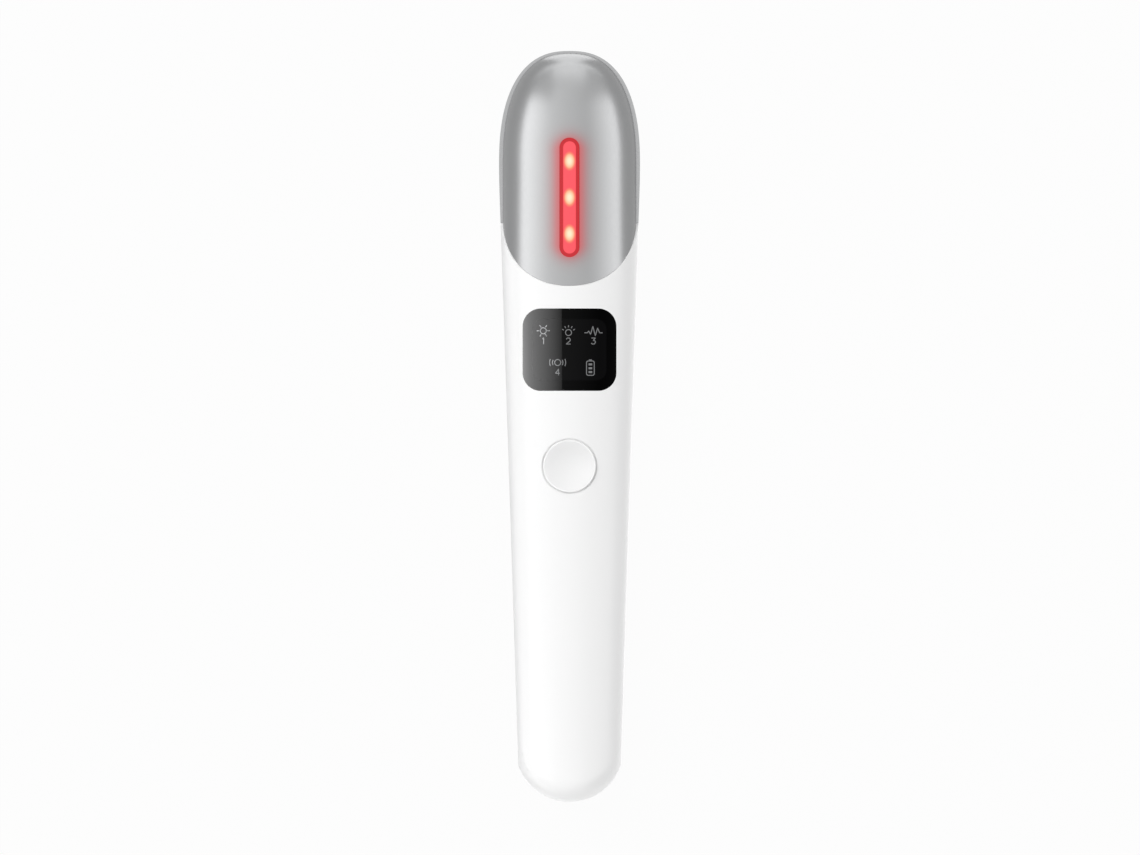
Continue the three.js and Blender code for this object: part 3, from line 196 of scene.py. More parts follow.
def section_at(y, inset=0.0, side_rim=0.0, top_rim=0.0):
    """Half width, width without the tail's arc, front height and back depth of the section at each y.

    An inset draws the section in. A rim narrows the head further and shortens it.
    """
    taper = taper_share(y)
    top_y = HEAD_END_Y - top_rim - inset
    tapered_width = HEAD_HALF_WIDTH - (HEAD_HALF_WIDTH - TAIL_HALF_WIDTH) * taper
    widest = np.minimum(tapered_width, HEAD_HALF_WIDTH - side_rim) - inset
    head_round = HEAD_ROUND_LENGTH - top_rim - inset
    full_width = widest * rounded_off(y - HEAD_CENTRE_Y, head_round, HEAD_OUTLINE_POWER)
    arc_radius = TAIL_ARC_RADIUS - inset
    reach = TAIL_ARC_Y - y
    arc = np.sqrt(np.maximum(arc_radius**2 - reach**2, 0))
    half_width = np.where(y < TAIL_ARC_Y, np.minimum(full_width, arc), full_width)
    front_start = HEAD_END_Y - HEAD_FRONT_ROUND_LENGTH
    back_start = HEAD_END_Y - HEAD_BACK_ROUND_LENGTH
    front = HEAD_FRONT_HEIGHT - (HEAD_FRONT_HEIGHT - TAIL_FRONT_HEIGHT) * taper - inset
    front = front * rounded_off(y - front_start, top_y - front_start, HEAD_FRONT_POWER)
    back = SEAM_HEIGHT + BACK_CROWN_HEIGHT - inset
    back = back * rounded_off(y - back_start, top_y - back_start, HEAD_BACK_POWER)
    return half_width, full_width, front, back


def tail_share(x, y, inset, length):
    """How far a point is into the rounding of the tail: 0 where it starts and 1 on the tail's arc."""
    arc_radius = TAIL_ARC_RADIUS - inset
    arc_y = TAIL_ARC_Y - np.sqrt(np.maximum(arc_radius**2 - x**2, 0))
    rounding = length * arc_radius / TAIL_ARC_RADIUS
    return np.maximum((arc_y + rounding - y) / rounding, 0)


def towards(value, power):
    return np.sign(value) * np.abs(value) ** (2 / power)


def front_z(x, y, inset=0.0, side_rim=0.0, top_rim=0.0):
    _, full_width, front, _ = section_at(np.asarray(y, float), inset, side_rim, top_rim)
    return SEAM_HEIGHT + front * rounded_off(np.abs(x), full_width, FRONT_SECTION_POWER)


def casing_shape(inset):
    return (inset, 0.0, 0.0)


def plate_shape(inset):
    return (inset, PLATE_SIDE_RIM, PLATE_TOP_RIM)


def cut_y(z):
    """Where the leaning cut between head and body lies at a height."""
    side_cut_y = HEAD_END_Y - SIDE_CUT_FROM_TOP
    front_cut_y = HEAD_END_Y - FRONT_CUT_FROM_TOP
    rise = float(section_at(np.float64(front_cut_y))[2])
    return side_cut_y - (z - SEAM_HEIGHT) / rise * (side_cut_y - front_cut_y)


def shares(points, shape):
    """Shares of the way across, into the tail's rounding and up to the full height, and the power."""
    x, y, z = points.T
    _, full_width, front, back = section_at(y, *shape)
    rise = z - SEAM_HEIGHT
    height = np.where(rise >= 0, front, back)
    power = np.where(rise >= 0, FRONT_SECTION_POWER, BACK_SECTION_POWER)
    length = np.where(rise >= 0, TAIL_FRONT_ROUND_LENGTH, TAIL_BACK_ROUND_LENGTH)
    across = np.abs(x) / np.maximum(full_width, GRADIENT_STEP)
    along = tail_share(x, y, shape[0], length)
    up = np.abs(rise) / np.maximum(height, GRADIENT_STEP)
    return across, along, up, power


def side_and_tail_round(across, along, power):
    """Shares of the full height that the section's curve and the tail's rounding leave."""
    side = rounded_off(across, 1, power)
    tail = rounded_off(along, 1, TAIL_ROUND_POWER)
    return np.maximum(side, GRADIENT_STEP), np.maximum(tail, GRADIENT_STEP)


def level(points, shape, at_tail):
    """0 on the form's surface, negative inside it. At the tail, its rounding leads the formula."""
    across, along, up, power = shares(points, shape)
    side, tail = side_and_tail_round(across, along, power)
    by_side = (across**power + (up / tail) ** power) ** (1 / power)
    by_tail = (along**TAIL_ROUND_POWER + (up / side) ** TAIL_ROUND_POWER) ** (1 / TAIL_ROUND_POWER)
    return np.where(at_tail, by_tail, by_side) - 1


def level_and_gradient(points, shape):
    across, along, _, power = shares(points, shape)
    side, tail = side_and_tail_round(across, along, power)
    at_tail = tail < side
    columns = []
    for axis in range(3):
        step = np.zeros(3)
        step[axis] = GRADIENT_STEP
        change = level(points + step, shape, at_tail) - level(points - step, shape, at_tail)
        columns.append(change / (2 * GRADIENT_STEP))
    return level(points, shape, at_tail), np.stack(columns, axis=1)


# Solids, in millimetres
def linked(name, data):
    """A new object in the scene that carries the given data."""
    made = bpy.data.objects.new(name, data)
    bpy.context.scene.collection.objects.link(made)
    return made


def surface(name, points, faces):
    mesh = bpy.data.meshes.new(name)
    mesh.from_pydata([tuple(p) for p in points], [], faces)
    mesh.update()
    return linked(name, mesh)


def turn_outward(made):
    work = bmesh.new()
    work.from_mesh(made.data)
    bmesh.ops.recalc_face_normals(work, faces=work.faces)
    work.to_mesh(made.data)
    work.free()
    return made


def loft(name, rings, tips):
    """A closed skin over rings of equally many points, with a tip beyond the first and the last ring."""
    count = len(rings[0])
    points = [point for ring in rings for point in ring] + list(tips)
    last = (len(rings) - 1) * count
    faces = []
    for side in range(count):
        following = (side + 1) % count
        faces.append((side, following, len(points) - 2))
        faces.append((last + following, last + side, len(points) - 1))
        for near in range(0, last, count):
            far = near + count
            faces.append((near + side, far + side, far + following, near + following))
    return surface(name, points, faces)


def form_stations(inset, top_rim):
    tail_angles = TAIL_CORNER_ANGLE * np.arange(1, TAIL_RINGS + 1) / TAIL_RINGS
    tail = TAIL_ARC_Y - (TAIL_ARC_RADIUS - inset) * np.cos(tail_angles)
    corner_angles = math.pi / 2 * np.arange(1, CORNER_RINGS + 1) / CORNER_RINGS
    corner = tail[-1] + TAIL_FRONT_ROUND_LENGTH * (1 - np.cos(corner_angles))
    body = corner[-1] + (HEAD_CENTRE_Y - corner[-1]) * np.arange(1, BODY_RINGS + 1) / BODY_RINGS
    head_angles = math.pi / 2 * np.arange(1, HEAD_RINGS) / HEAD_RINGS
    head_round = HEAD_ROUND_LENGTH - top_rim - inset
    head = HEAD_CENTRE_Y + head_round * towards(np.sin(head_angles), HEAD_OUTLINE_POWER)
    return np.concatenate([tail, corner, body, head])


def form(inset=0.0, side_rim=0.0, top_rim=0.0):
    """The outer form, drawn in by an inset, as one closed loft of superellipse sections."""
    places = form_stations(inset, top_rim)
    count = 2 * SECTION_STEPS
    angles = math.pi * np.arange(count) / SECTION_STEPS
    in_front = np.arange(count) <= SECTION_STEPS
    power = np.where(in_front, FRONT_SECTION_POWER, BACK_SECTION_POWER)
    length = np.where(in_front, TAIL_FRONT_ROUND_LENGTH, TAIL_BACK_ROUND_LENGTH)
    y = np.repeat(places[:, None], count, axis=1)
    half_width, full_width, front, back = section_at(y, inset, side_rim, top_rim)
    x = half_width * towards(np.cos(angles), power)
    rise = np.where(in_front, front, -back) * rounded_off(np.abs(x), full_width, power)
    rise = rise * rounded_off(tail_share(x, y, inset, length), 1, TAIL_ROUND_POWER)
    rise[:, [0, SECTION_STEPS]] = 0
    z = np.maximum(SEAM_HEIGHT + rise, inset)
    rings = np.stack([x, y, z], axis=2)
    tips = [(0, TAIL_END_Y + inset, SEAM_HEIGHT), (0, HEAD_END_Y - top_rim - inset, SEAM_HEIGHT)]
    return loft("form", rings, tips)


def rounded_outline(x, y, width, height, radius):
    """Corner points of a rounded rectangle, anticlockwise."""
    points = []
    for corner, (side_x, side_y) in enumerate([(1, -1), (1, 1), (-1, 1), (-1, -1)]):
        centre_x = x + side_x * (width / 2 - radius)
        centre_y = y + side_y * (height / 2 - radius)
        for step in range(OUTLINE_STEPS + 1):
            angle = math.pi / 2 * (corner - 1 + step / OUTLINE_STEPS)
            points.append((centre_x + radius * math.cos(angle), centre_y + radius * math.sin(angle)))
    following = points[1:] + points[:1]
    return [point for point, after in zip(points, following) if math.dist(point, after) > MERGE_DISTANCE]


def circle(x, y, radius, steps=ROUND_STEPS):
    turns = [2 * math.pi * step / steps for step in range(steps)]
    return [(x + radius * math.cos(turn), y + radius * math.sin(turn)) for turn in turns]


def prism(outline, low, high, place=lambda a, b, c: (a, b, c)):
    """An outline extruded between two levels. place turns outline and level into x, y and z."""
    count = len(outline)
    points = [place(a, b, low) for a, b in outline] + [place(a, b, high) for a, b in outline]
    faces = [tuple(reversed(range(count))), tuple(range(count, 2 * count))]
    for side in range(count):
        following = (side + 1) % count
        faces.append((side, following, count + following, count + side))
    return turn_outward(surface("prism", points, faces))


def lengthways(outline, low_y, high_y):
    return prism(outline, low_y, high_y, lambda x, z, y: (x, y, z))


def sideways(outline):
    return prism(outline, -FAR_X, FAR_X, lambda y, z, x: (x, y, z))


def slab(low_y, high_y, low_z, high_z):
    """Everything between two places along the wand and between two levels."""
    corners = [(-FAR_X, low_y), (FAR_X, low_y), (FAR_X, high_y), (-FAR_X, high_y)]
    return prism(corners, low_z, high_z)


def through_front(outline):
    return prism(outline, SEAM_HEIGHT, FAR_Z)


def applied(made):
    """Makes what a piece's modifiers do a part of its mesh."""
    depsgraph = bpy.context.evaluated_depsgraph_get()
    mesh = bpy.data.meshes.new_from_object(made.evaluated_get(depsgraph))
    made.modifiers.clear()
    made.data = mesh
    return made


def combined(first, other, operation):
    modifier = first.modifiers.new("join", "BOOLEAN")
    modifier.operation = operation
    modifier.solver = "MANIFOLD"
    modifier.object = other
    applied(first)
    bpy.data.objects.remove(other)
    return first


def cut(first, *others):
    for other in others:
        combined(first, other, "DIFFERENCE")
    return first


def kept_within(first, other):
    return combined(first, other, "INTERSECT")


def head_region(gap, low_z):
    """Everything on the head's side of the leaning cut, above a level."""
    low_y = cut_y(low_z) + gap
    return sideways([(low_y, low_z), (FAR_Y, low_z), (FAR_Y, FAR_Z), (cut_y(FAR_Z) + gap, FAR_Z)])


BEZEL_TOP_Z = SEAM_HEIGHT + BEZEL_RISE
BEZEL_BOTTOM_Z = SEAM_HEIGHT - BEZEL_DROP
BEZEL_END_Y = cut_y(BEZEL_TOP_Z)


def body_region(gap, low_z):
    """The front shell's side of the same cut, which stops short of the bezel's two ends."""
    end_y = BEZEL_END_Y - gap
    slope = [(end_y, BEZEL_TOP_Z), (cut_y(FAR_Z) - gap, FAR_Z)]
    return sideways([(-FAR_Y, low_z), (end_y, low_z), *slope, (-FAR_Y, FAR_Z)])


# Places read from the frame, in millimetres
def node_box(node):
    low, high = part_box(node)
    return low / MM, high / MM


def middle_outline(middle_y, half_width, half_height, radius, margin):
    """A rounded rectangle on the wand's middle line, widened by a margin."""
    width = 2 * (half_width + margin)
    return rounded_outline(0, middle_y, width, 2 * (half_height + margin), radius + margin)


def node_middle(node):
    """A node's middle and half its size."""
    low, high = node_box(node)
    return (low + high) / 2, (high - low) / 2


strip_middle, strip_half = node_middle("light_window")
lens_middle, lens_half = node_middle("display_window")
cap_middle, cap_half = node_middle("button_cap")
SLOT_CENTRE_Y = strip_middle.y
SLOT_HALF_WIDTH = strip_half.x - STRIP_FLANGE_WIDTH
SLOT_HALF_LENGTH = strip_half.y - STRIP_FLANGE_WIDTH
LENS_CENTRE_Y = lens_middle.y
CAP_CENTRE_Y = cap_middle.y
LED_YS = [node_middle(f"led_{index}")[0].y for index in (1, 2, 3)]


def slot_outline(margin):
    return middle_outline(SLOT_CENTRE_Y, SLOT_HALF_WIDTH, SLOT_HALF_LENGTH, SLOT_HALF_WIDTH, margin)


def lens_outline(margin):
    return middle_outline(LENS_CENTRE_Y, lens_half.x, lens_half.y, LENS_CORNER_RADIUS, margin)


def electrode_outline(margin):
    middle, half = node_middle("rear_electrode")
    return middle_outline(middle.y, half.x, half.y, half.x, margin)


def usb_outline(margin):
    half = node_middle("usb_shell")[1]
    return middle_outline(SEAM_HEIGHT, half.x, half.z, USB_CORNER_RADIUS, margin)


def plug_outline(node, margin, steps=ROUND_STEPS):
    middle, half = node_middle(node)
    return circle(0, middle.y, half.x + margin, steps)


# Smooth surfaces
SAMPLE_SHIFT = 0.04
LEAST_AGREEMENT = 0.8
FLOOR_FACING = -0.98


def smooth_by_angle(made, angle=SHARP_ANGLE):
    made.data.shade_smooth()
    made.data.set_sharp_from_angle(angle=angle)
    return made


def mesh_values(items, name, kind=float, width=1):
    """One property of all corners, points or faces of a mesh, with one or more values for each."""
    values = np.zeros(width * len(items), kind)
    items.foreach_get(name, values)
    return values if width == 1 else values.reshape(-1, width)


def smooth_to_forms(made, *shapes):
    """Shades a piece as the exact form wherever its surface lies on one of the given forms.

    Each corner's normal is sampled a little inside its face. The flat underside of the wand, where
    the form is cut off, keeps its own normal.
    """
    mesh = smooth_by_angle(made).data
    points = mesh_values(mesh.vertices, "co", width=3)[mesh_values(mesh.loops, "vertex_index", int)]
    corner_counts = mesh_values(mesh.polygons, "loop_total", int)
    owner = np.repeat(np.arange(len(corner_counts)), corner_counts)
    centres = mesh_values(mesh.polygons, "center", width=3)[owner]
    facings = mesh_values(mesh.polygons, "normal", width=3)[owner]
    sample = points + (centres - points) * SAMPLE_SHIFT
    normals = np.zeros((len(points), 3))
    for shape in shapes:
        _, slope = level_and_gradient(sample, shape)
        steep = np.maximum(np.linalg.norm(slope, axis=1), TINY)
        distance = np.abs(level_and_gradient(points, shape)[0]) / steep
        outward = slope / steep[:, None]
        agreement = (outward * facings).sum(axis=1)
        underside = (points[:, 2] < shape[0] + SURFACE_TOLERANCE) & (facings[:, 2] < FLOOR_FACING)
        near = (distance < SURFACE_TOLERANCE) & (np.abs(agreement) > LEAST_AGREEMENT) & ~underside
        outward = np.where(agreement[:, None] < 0, -outward, outward)
        normals[near] = outward[near]
    mesh.normals_split_custom_set(normals.tolist())


def bevelled(made, width):
    modifier = made.modifiers.new("edges", "BEVEL")
    modifier.width = width
    modifier.segments = 3
    modifier.limit_method = "ANGLE"
    modifier.angle_limit = BEVEL_ANGLE
    modifier.harden_normals = True
    return smooth_by_angle(applied(made))


# Node materials
NOISE_SPAN = (0.3, 0.7)
ROUGHNESS_DRIFT = 0.15


class Nodes:
    """A node tree, with short calls for the nodes that this script uses."""

    def __init__(self, tree):
        self.nodes = tree.nodes
        self.links = tree.links

    def feed(self, socket, value):
        """Links an output to a socket, or writes a constant on it. A colour is given as three values."""
        if isinstance(value, bpy.types.NodeSocket):
            self.links.new(value, socket)
        elif socket.type == "RGBA":
            socket.default_value = (*value, 1.0)
        else:
            socket.default_value = value

    def fill(self, node, **inputs):
        """Feeds a node's sockets by their names."""
        for name, value in inputs.items():
            self.feed(node.inputs[name.replace("_", " ")], value)
        return node

    def add(self, kind, **inputs):
        return self.fill(self.nodes.new("ShaderNode" + kind), **inputs)

    def math(self, operation, *values):
        node = self.add("Math")
        node.operation = operation
        for socket, value in zip(node.inputs, values):
            self.feed(socket, value)
        return node.outputs[0]

    def spread(self, value, low, high, new_low=0.0, new_high=1.0):
        node = self.add("MapRange", Value=value, From_Min=low, From_Max=high, To_Min=new_low, To_Max=new_high)
        return node.outputs[0]

    def rays(self):
        """Three values: 1 for rays from the camera, for mirrored or passing rays, and for scattered rays."""
        path = self.add("LightPath").outputs
        mirrored = self.math("MAXIMUM", path["Is Glossy Ray"], path["Is Transmission Ray"])
        return path["Is Camera Ray"], mirrored, path["Is Diffuse Ray"]


class Finish(Nodes):
    """A material. Its patterns are laid out by the place in the frame, in metres."""

    def __init__(self, name):
        self.material = bpy.data.materials.new(name)
        self.material.use_nodes = True
        super().__init__(self.material.node_tree)
        self.shader = self.nodes["Principled BSDF"]
        self.place = self.add("TexCoord").outputs["Object"]

    def set(self, **inputs):
        """Feeds the shader's sockets and gives back the material."""
        self.fill(self.shader, **inputs)
        return self.material

    def noise(self, scale, detail=3.0, stretch=(1, 1, 1)):
        place = self.add("Mapping", Vector=self.place, Scale=stretch).outputs["Vector"]
        return self.add("TexNoise", Vector=place, Scale=scale, Detail=detail).outputs["Fac"]

    def blend(self, share, first, other):
        node = self.add("Mix")
        node.data_type = "RGBA"
        for place, value in ((0, share), (6, first), (7, other)):
            self.feed(node.inputs[place], value)
        return node.outputs[2]

    def bump(self, height, strength, distance):
        return self.add("Bump", Height=height, Strength=strength, Distance=distance).outputs["Normal"]

    def uneven(self, noise, low, high):
        """Spreads a noise between two values."""
        return self.spread(noise, *NOISE_SPAN, low, high)

    def drift(self, colour, tone, scale):
        """A colour that drifts between a darker tone and itself."""
        darker = tuple(part * tone for part in colour)
        return self.blend(self.noise(scale), darker, colour)

    def skin(self, noise, roughnesses, strength, depth):
        """A noise makes the gloss uneven between two roughnesses, and the surface finely rough."""
        return self.set(Roughness=self.uneven(noise, *roughnesses), Normal=self.bump(noise, strength, depth))

    def xyz(self):
        """Place in the frame, in millimetres, as three values."""
        outputs = self.add("SeparateXYZ", Vector=self.place).outputs
        return [self.math("DIVIDE", output, MM) for output in outputs]

    def squares(self, first, other):
        """The sum of two values' squares."""
        return self.math("ADD", self.math("POWER", first, 2.0), self.math("POWER", other, 2.0))

    def beyond(self, value, limit):
        """How far a value is above a limit, or 0."""
        return self.math("MAXIMUM", self.math("SUBTRACT", value, limit), 0.0)

    def decay(self, value):
        """1 at 0, falling towards 0 as the value grows."""
        return self.math("EXPONENT", self.math("MULTIPLY", value, -1.0))

    def from_slot(self, end_shift=0.0):
        """Distance to the middle line of the light slot, in millimetres. The line's ends can be drawn in."""
        x, y, _ = self.xyz()
        along = self.math("ABSOLUTE", self.math("SUBTRACT", y, SLOT_CENTRE_Y))
        past_end = self.beyond(along, SLOT_HALF_LENGTH - SLOT_HALF_WIDTH - end_shift)
        return self.math("SQRT", self.squares(x, past_end))


def about(roughness):
    """Roughnesses a little below and above the given one."""
    return roughness * (1 - ROUGHNESS_DRIFT), roughness * (1 + ROUGHNESS_DRIFT)


def moulded(name, colour, roughness, specular=0.5):
    """Moulded plastic: faint tone drift, uneven gloss and a fine skin."""
    finish = Finish(name)
    finish.set(Base_Color=finish.drift(colour, tone=0.97, scale=35.0), Specular_IOR_Level=specular)
    return finish.skin(finish.noise(900.0, detail=5.0), about(roughness), strength=0.12, depth=0.00002)


def metal(name, colour, roughness, stretch=(1, 1, 1), depth=0.000008):
    """Plated or drawn metal: a fine grain in its gloss and its skin."""
    finish = Finish(name)
    finish.set(Base_Color=finish.drift(colour, tone=0.94, scale=60.0), Metallic=1.0)
    grains = finish.noise(2200.0, detail=4.0, stretch=stretch)
    return finish.skin(grains, about(roughness), strength=0.15, depth=depth)


WHITE = (0.86, 0.86, 0.86)
# A greyer white paints shade into the button's dish; a paler white paints a highlight on its rim.
DISH_SHADE_WHITE = (0.815, 0.815, 0.815)
RIM_HIGHLIGHT_WHITE = (0.93, 0.93, 0.93)
SILVER = (0.35, 0.353, 0.357)


def white_finish(name):
    """A finish with the rippled gloss that the casing and the button share."""
    finish = Finish(name)
    finish.skin(finish.noise(260.0, detail=2.0), (0.3, 0.35), strength=0.06, depth=0.00002)
    return finish


def white_gloss():
    finish = white_finish("white_gloss")
    return finish.set(Base_Color=finish.drift(WHITE, tone=0.985, scale=28.0))


RIM_BLEND = 0.04


def dished_button():
    """The casing's white, with painted shade that greys the dish and a painted highlight that lightens the
    rim.
    """
    finish = white_finish("dished_button")
    x, y, _ = finish.xyz()
    from_axis = finish.math("SQRT", finish.squares(x, finish.math("SUBTRACT", y, CAP_CENTRE_Y)))
    dish_radius = CAP_RADIUS - CAP_RIM_WIDTH
    painted_rim_highlight = finish.spread(from_axis, dish_radius - RIM_BLEND, dish_radius + RIM_BLEND)
    # Painted shade in the dish and a painted highlight on the rim.
    return finish.set(Base_Color=finish.blend(painted_rim_highlight, DISH_SHADE_WHITE, RIM_HIGHLIGHT_WHITE))


# A painted red glow on the metal round the lit slot: a red tint in its colour and a faint light of its own.
PAINTED_GLOW_END_SHIFT = 0.85
PAINTED_GLOW_REACH = 1.75
PAINTED_GLOW_POWER = 1.6
PAINTED_GLOW_TINT = (SILVER[0], 0.0, 0.005)
PAINTED_GLOW_TINT_SHARE = 0.6
PAINTED_GLOW_LIGHT = (1.0, 0.06, 0.09)
PAINTED_GLOW_STRENGTH = 0.2


def satin_head():
    """Satin metal with a painted red glow beside the lit slot: red painted into its colour there, and a faint
    light of its own.
    """
    finish = Finish("satin_head")
    from_edge = finish.beyond(finish.from_slot(PAINTED_GLOW_END_SHIFT), SLOT_HALF_WIDTH)
    reach = finish.math("DIVIDE", from_edge, PAINTED_GLOW_REACH)
    painted_glow = finish.decay(finish.math("POWER", reach, PAINTED_GLOW_POWER))
    plain = finish.drift(SILVER, tone=0.96, scale=45.0)
    # Painted glow: the metal's colour turns red close to the slot.
    painted_glow_colour = finish.blend(finish.math("MULTIPLY", painted_glow, PAINTED_GLOW_TINT_SHARE), plain, PAINTED_GLOW_TINT)
    finish.set(Base_Color=painted_glow_colour, Metallic=1.0)
    finish.skin(finish.noise(2600.0, detail=4.0), (0.29, 0.35), strength=0.1, depth=0.000006)
    # Painted glow: the metal gives off faint red light close to the slot, though it is no lamp.
    strength = finish.math("MULTIPLY", finish.math("POWER", painted_glow, 2.0), PAINTED_GLOW_STRENGTH)
    return finish.set(Emission_Color=PAINTED_GLOW_LIGHT, Emission_Strength=strength)


RIM_START = -0.1
RIM_END = 0.06
LIT_RED = (1.0, 0.1, 0.127)
RIM_RED = (0.5, 0.014, 0.022)
SPOT_HALF_LENGTH = 1.6
SPOT_HALF_WIDTH = 1.05
SPOT_ORANGE = (1.0, 0.4, 0.19)
SPOT_WARM = (1.0, 0.93, 0.64)


def lit_strip():
    """Red translucent strip: a dark rim, a lit channel and a warm spot over each light."""
    finish = Finish("lit_strip")
    x, y, _ = finish.xyz()
    edge = SLOT_HALF_WIDTH - STRIP_RIM_WIDTH
    rim = finish.spread(finish.from_slot(), edge + RIM_START, edge + RIM_END)
    lit = finish.blend(rim, LIT_RED, RIM_RED)
    across = finish.math("DIVIDE", x, SPOT_HALF_WIDTH)
    spots = 0.0
    for led_y in LED_YS:
        along = finish.math("DIVIDE", finish.math("SUBTRACT", y, led_y), SPOT_HALF_LENGTH)
        spots = finish.math("ADD", spots, finish.decay(finish.squares(along, across)))
    orange = finish.blend(finish.spread(spots, 0.2, 0.55), lit, SPOT_ORANGE)
    warm = finish.blend(finish.spread(spots, 0.38, 0.95), orange, SPOT_WARM)
    finish.set(Base_Color=(0.1, 0.005, 0.006), Emission_Color=warm, Emission_Strength=0.93)
    finish.set(Roughness=0.22, Specular_IOR_Level=0.25)
    return finish.set(Normal=finish.bump(finish.noise(700.0), strength=0.05, distance=0.00001))


LIT_AREA_HALF_SIZE = (7.35, 6.07)
LIT_AREA_CORNER = 2.0
LIT_AREA_BLEND = 0.15


def black_lens():
    """Glossy black lens with a slightly paler lit area behind it."""
    finish = Finish("black_lens")
    x, y, _ = finish.xyz()
    past = []
    for value, half in zip((x, finish.math("SUBTRACT", y, LENS_CENTRE_Y)), LIT_AREA_HALF_SIZE):
        past.append(finish.beyond(finish.math("ABSOLUTE", value), half - LIT_AREA_CORNER))
    distance = finish.math("SQRT", finish.squares(*past))
    inner, outer = LIT_AREA_CORNER - LIT_AREA_BLEND, LIT_AREA_CORNER + LIT_AREA_BLEND
    area = finish.spread(distance, inner, outer, 1.0, 0.0)
    finish.set(Base_Color=finish.blend(area, (0.0002, 0.0002, 0.0003), (0.0028, 0.0028, 0.003)))
    return finish.set(Roughness=finish.uneven(finish.noise(500.0), 0.025, 0.035), Specular_IOR_Level=0.012)


SIGN_LIGHT_SPAN = (-5.0, -1.5)
SIGN_LIGHTS = (0.3, 0.125)


def lit_sign():
    """The signs' pale light, which is stronger at the display's left."""
    finish = Finish("lit_sign")
    strength = finish.spread(finish.xyz()[0], *SIGN_LIGHT_SPAN, *SIGN_LIGHTS)
    flicker = finish.uneven(finish.noise(900.0), 0.9, 1.1)
    finish.set(Base_Color=(0.08, 0.08, 0.08), Emission_Color=(0.95, 0.97, 1.0))
    finish.set(Emission_Strength=finish.math("MULTIPLY", strength, flicker))
    return finish.set(Roughness=0.05, Specular_IOR_Level=0.012)


def tracked(name, bands, span, base, copper, roughness, depth):
    """A board or film with metal tracks, from bands of a direction, a scale and a distortion."""
    finish = Finish(name)
    direction, scale, distortion = bands
    waves = finish.add("TexWave", Vector=finish.place, Scale=scale, Distortion=distortion)
    waves.bands_direction = direction
    tracks = finish.spread(waves.outputs["Fac"], *span)
    finish.set(Base_Color=finish.blend(tracks, base, copper), Roughness=roughness)
    return finish.set(Normal=finish.bump(tracks, strength=0.3, distance=depth))


BOARD = (("X", 160.0, 6.0), (0.55, 0.62), (0.01, 0.12, 0.05), (0.03, 0.22, 0.1), 0.38, 0.00003)
FILM = (("Y", 240.0, 1.0), (0.5, 0.58), (0.5, 0.2, 0.03), (0.62, 0.36, 0.16), 0.33, 0.00002)


def cell_foam():
    finish = Finish("cell_foam")
    cells = finish.add("TexVoronoi", Vector=finish.place, Scale=900.0).outputs["Distance"]
    finish.set(Base_Color=finish.blend(cells, (0.012, 0.012, 0.013), (0.05, 0.05, 0.052)), Roughness=0.95)
    return finish.set(Normal=finish.bump(cells, strength=0.8, distance=0.0003))


def pouch_foil():
    finish = Finish("pouch_foil")
    creases = finish.noise(120.0, detail=6.0)
    finish.set(Base_Color=finish.blend(creases, (0.42, 0.5, 0.58), (0.55, 0.62, 0.7)), Metallic=0.7)
    return finish.skin(creases, (0.25, 0.42), strength=0.4, depth=0.0002)


def light_chip():
    finish = Finish("light_chip")
    clouds = finish.noise(400.0)
    finish.set(Base_Color=finish.blend(clouds, (0.9, 0.8, 0.5), (1.0, 0.93, 0.75)), Roughness=0.2)
    return finish.set(Emission_Color=(1.0, 0.85, 0.6), Emission_Strength=0.5)


finishes = {
    "white_gloss": white_gloss(),
    "white_button": dished_button(),
    "satin_silver": metal("satin_silver", (0.62, 0.625, 0.63), 0.26),
    "silver_ring": metal("silver_ring", (0.38, 0.383, 0.387), 0.3, depth=0.0000015),
    "red_light": lit_strip(),
    "black_glass": black_lens(),
    "black_film": moulded("black_film", (0.012, 0.012, 0.013), 0.6),
    "white_plastic": moulded("white_plastic", (0.75, 0.75, 0.72), 0.5),
    "black_plastic": moulded("black_plastic", (0.016, 0.016, 0.018), 0.45),
    "green_board": tracked("circuit_board", *BOARD),
    "amber_film": tracked("heating_film", *FILM),
    "warm_led": light_chip(),
    "steel": metal("steel", (0.56, 0.57, 0.58), 0.3, stretch=(1, 0.05, 1)),
    "brass": metal("brass", (0.72, 0.5, 0.18), 0.28),
    "copper": metal("copper", (0.6, 0.26, 0.12), 0.35, stretch=(1, 0.1, 1)),
    "dark_metal": metal("dark_metal", (0.12, 0.125, 0.13), 0.45),
    "grey_rubber": moulded("grey_rubber", (0.06, 0.062, 0.065), 0.85, specular=0.3),
    "foam": cell_foam(),
    "battery_wrap": pouch_foil(),
    "red_wire": moulded("red_wire", (0.42, 0.02, 0.025), 0.42),
    "black_wire": moulded("black_wire", (0.01, 0.01, 0.011), 0.42),
}
head_finish = satin_head()
sign_finish = lit_sign()

slots = {row["node"]: row["material_slot"] for row in frame["record"]["subparts"]}
for node, carried in frame["nodes"].items():
    carried.data.materials.clear()
    carried.data.materials.append(finishes[slots[node]])
    smooth_by_angle(carried)


def finish_piece(made, name, slot, stands_for=(), body="wand", finish=None):
    """Turns a piece into metres, names it, and gives it its finish, its body and the nodes it shows."""
    made.name = name
    made.data.name = name
    made.data.transform(Matrix.Scale(MM, 4))
    made.data.materials.clear()
    made.data.materials.append(finish or finishes[slot])
    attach(made, body)
    if stands_for:
        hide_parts(*stands_for)


# The casing
def usb_opening():
    back_y = node_box("usb_shell")[1].y + FIT_GAP
    return lengthways(usb_outline(FIT_GAP), -FAR_Y, back_y)


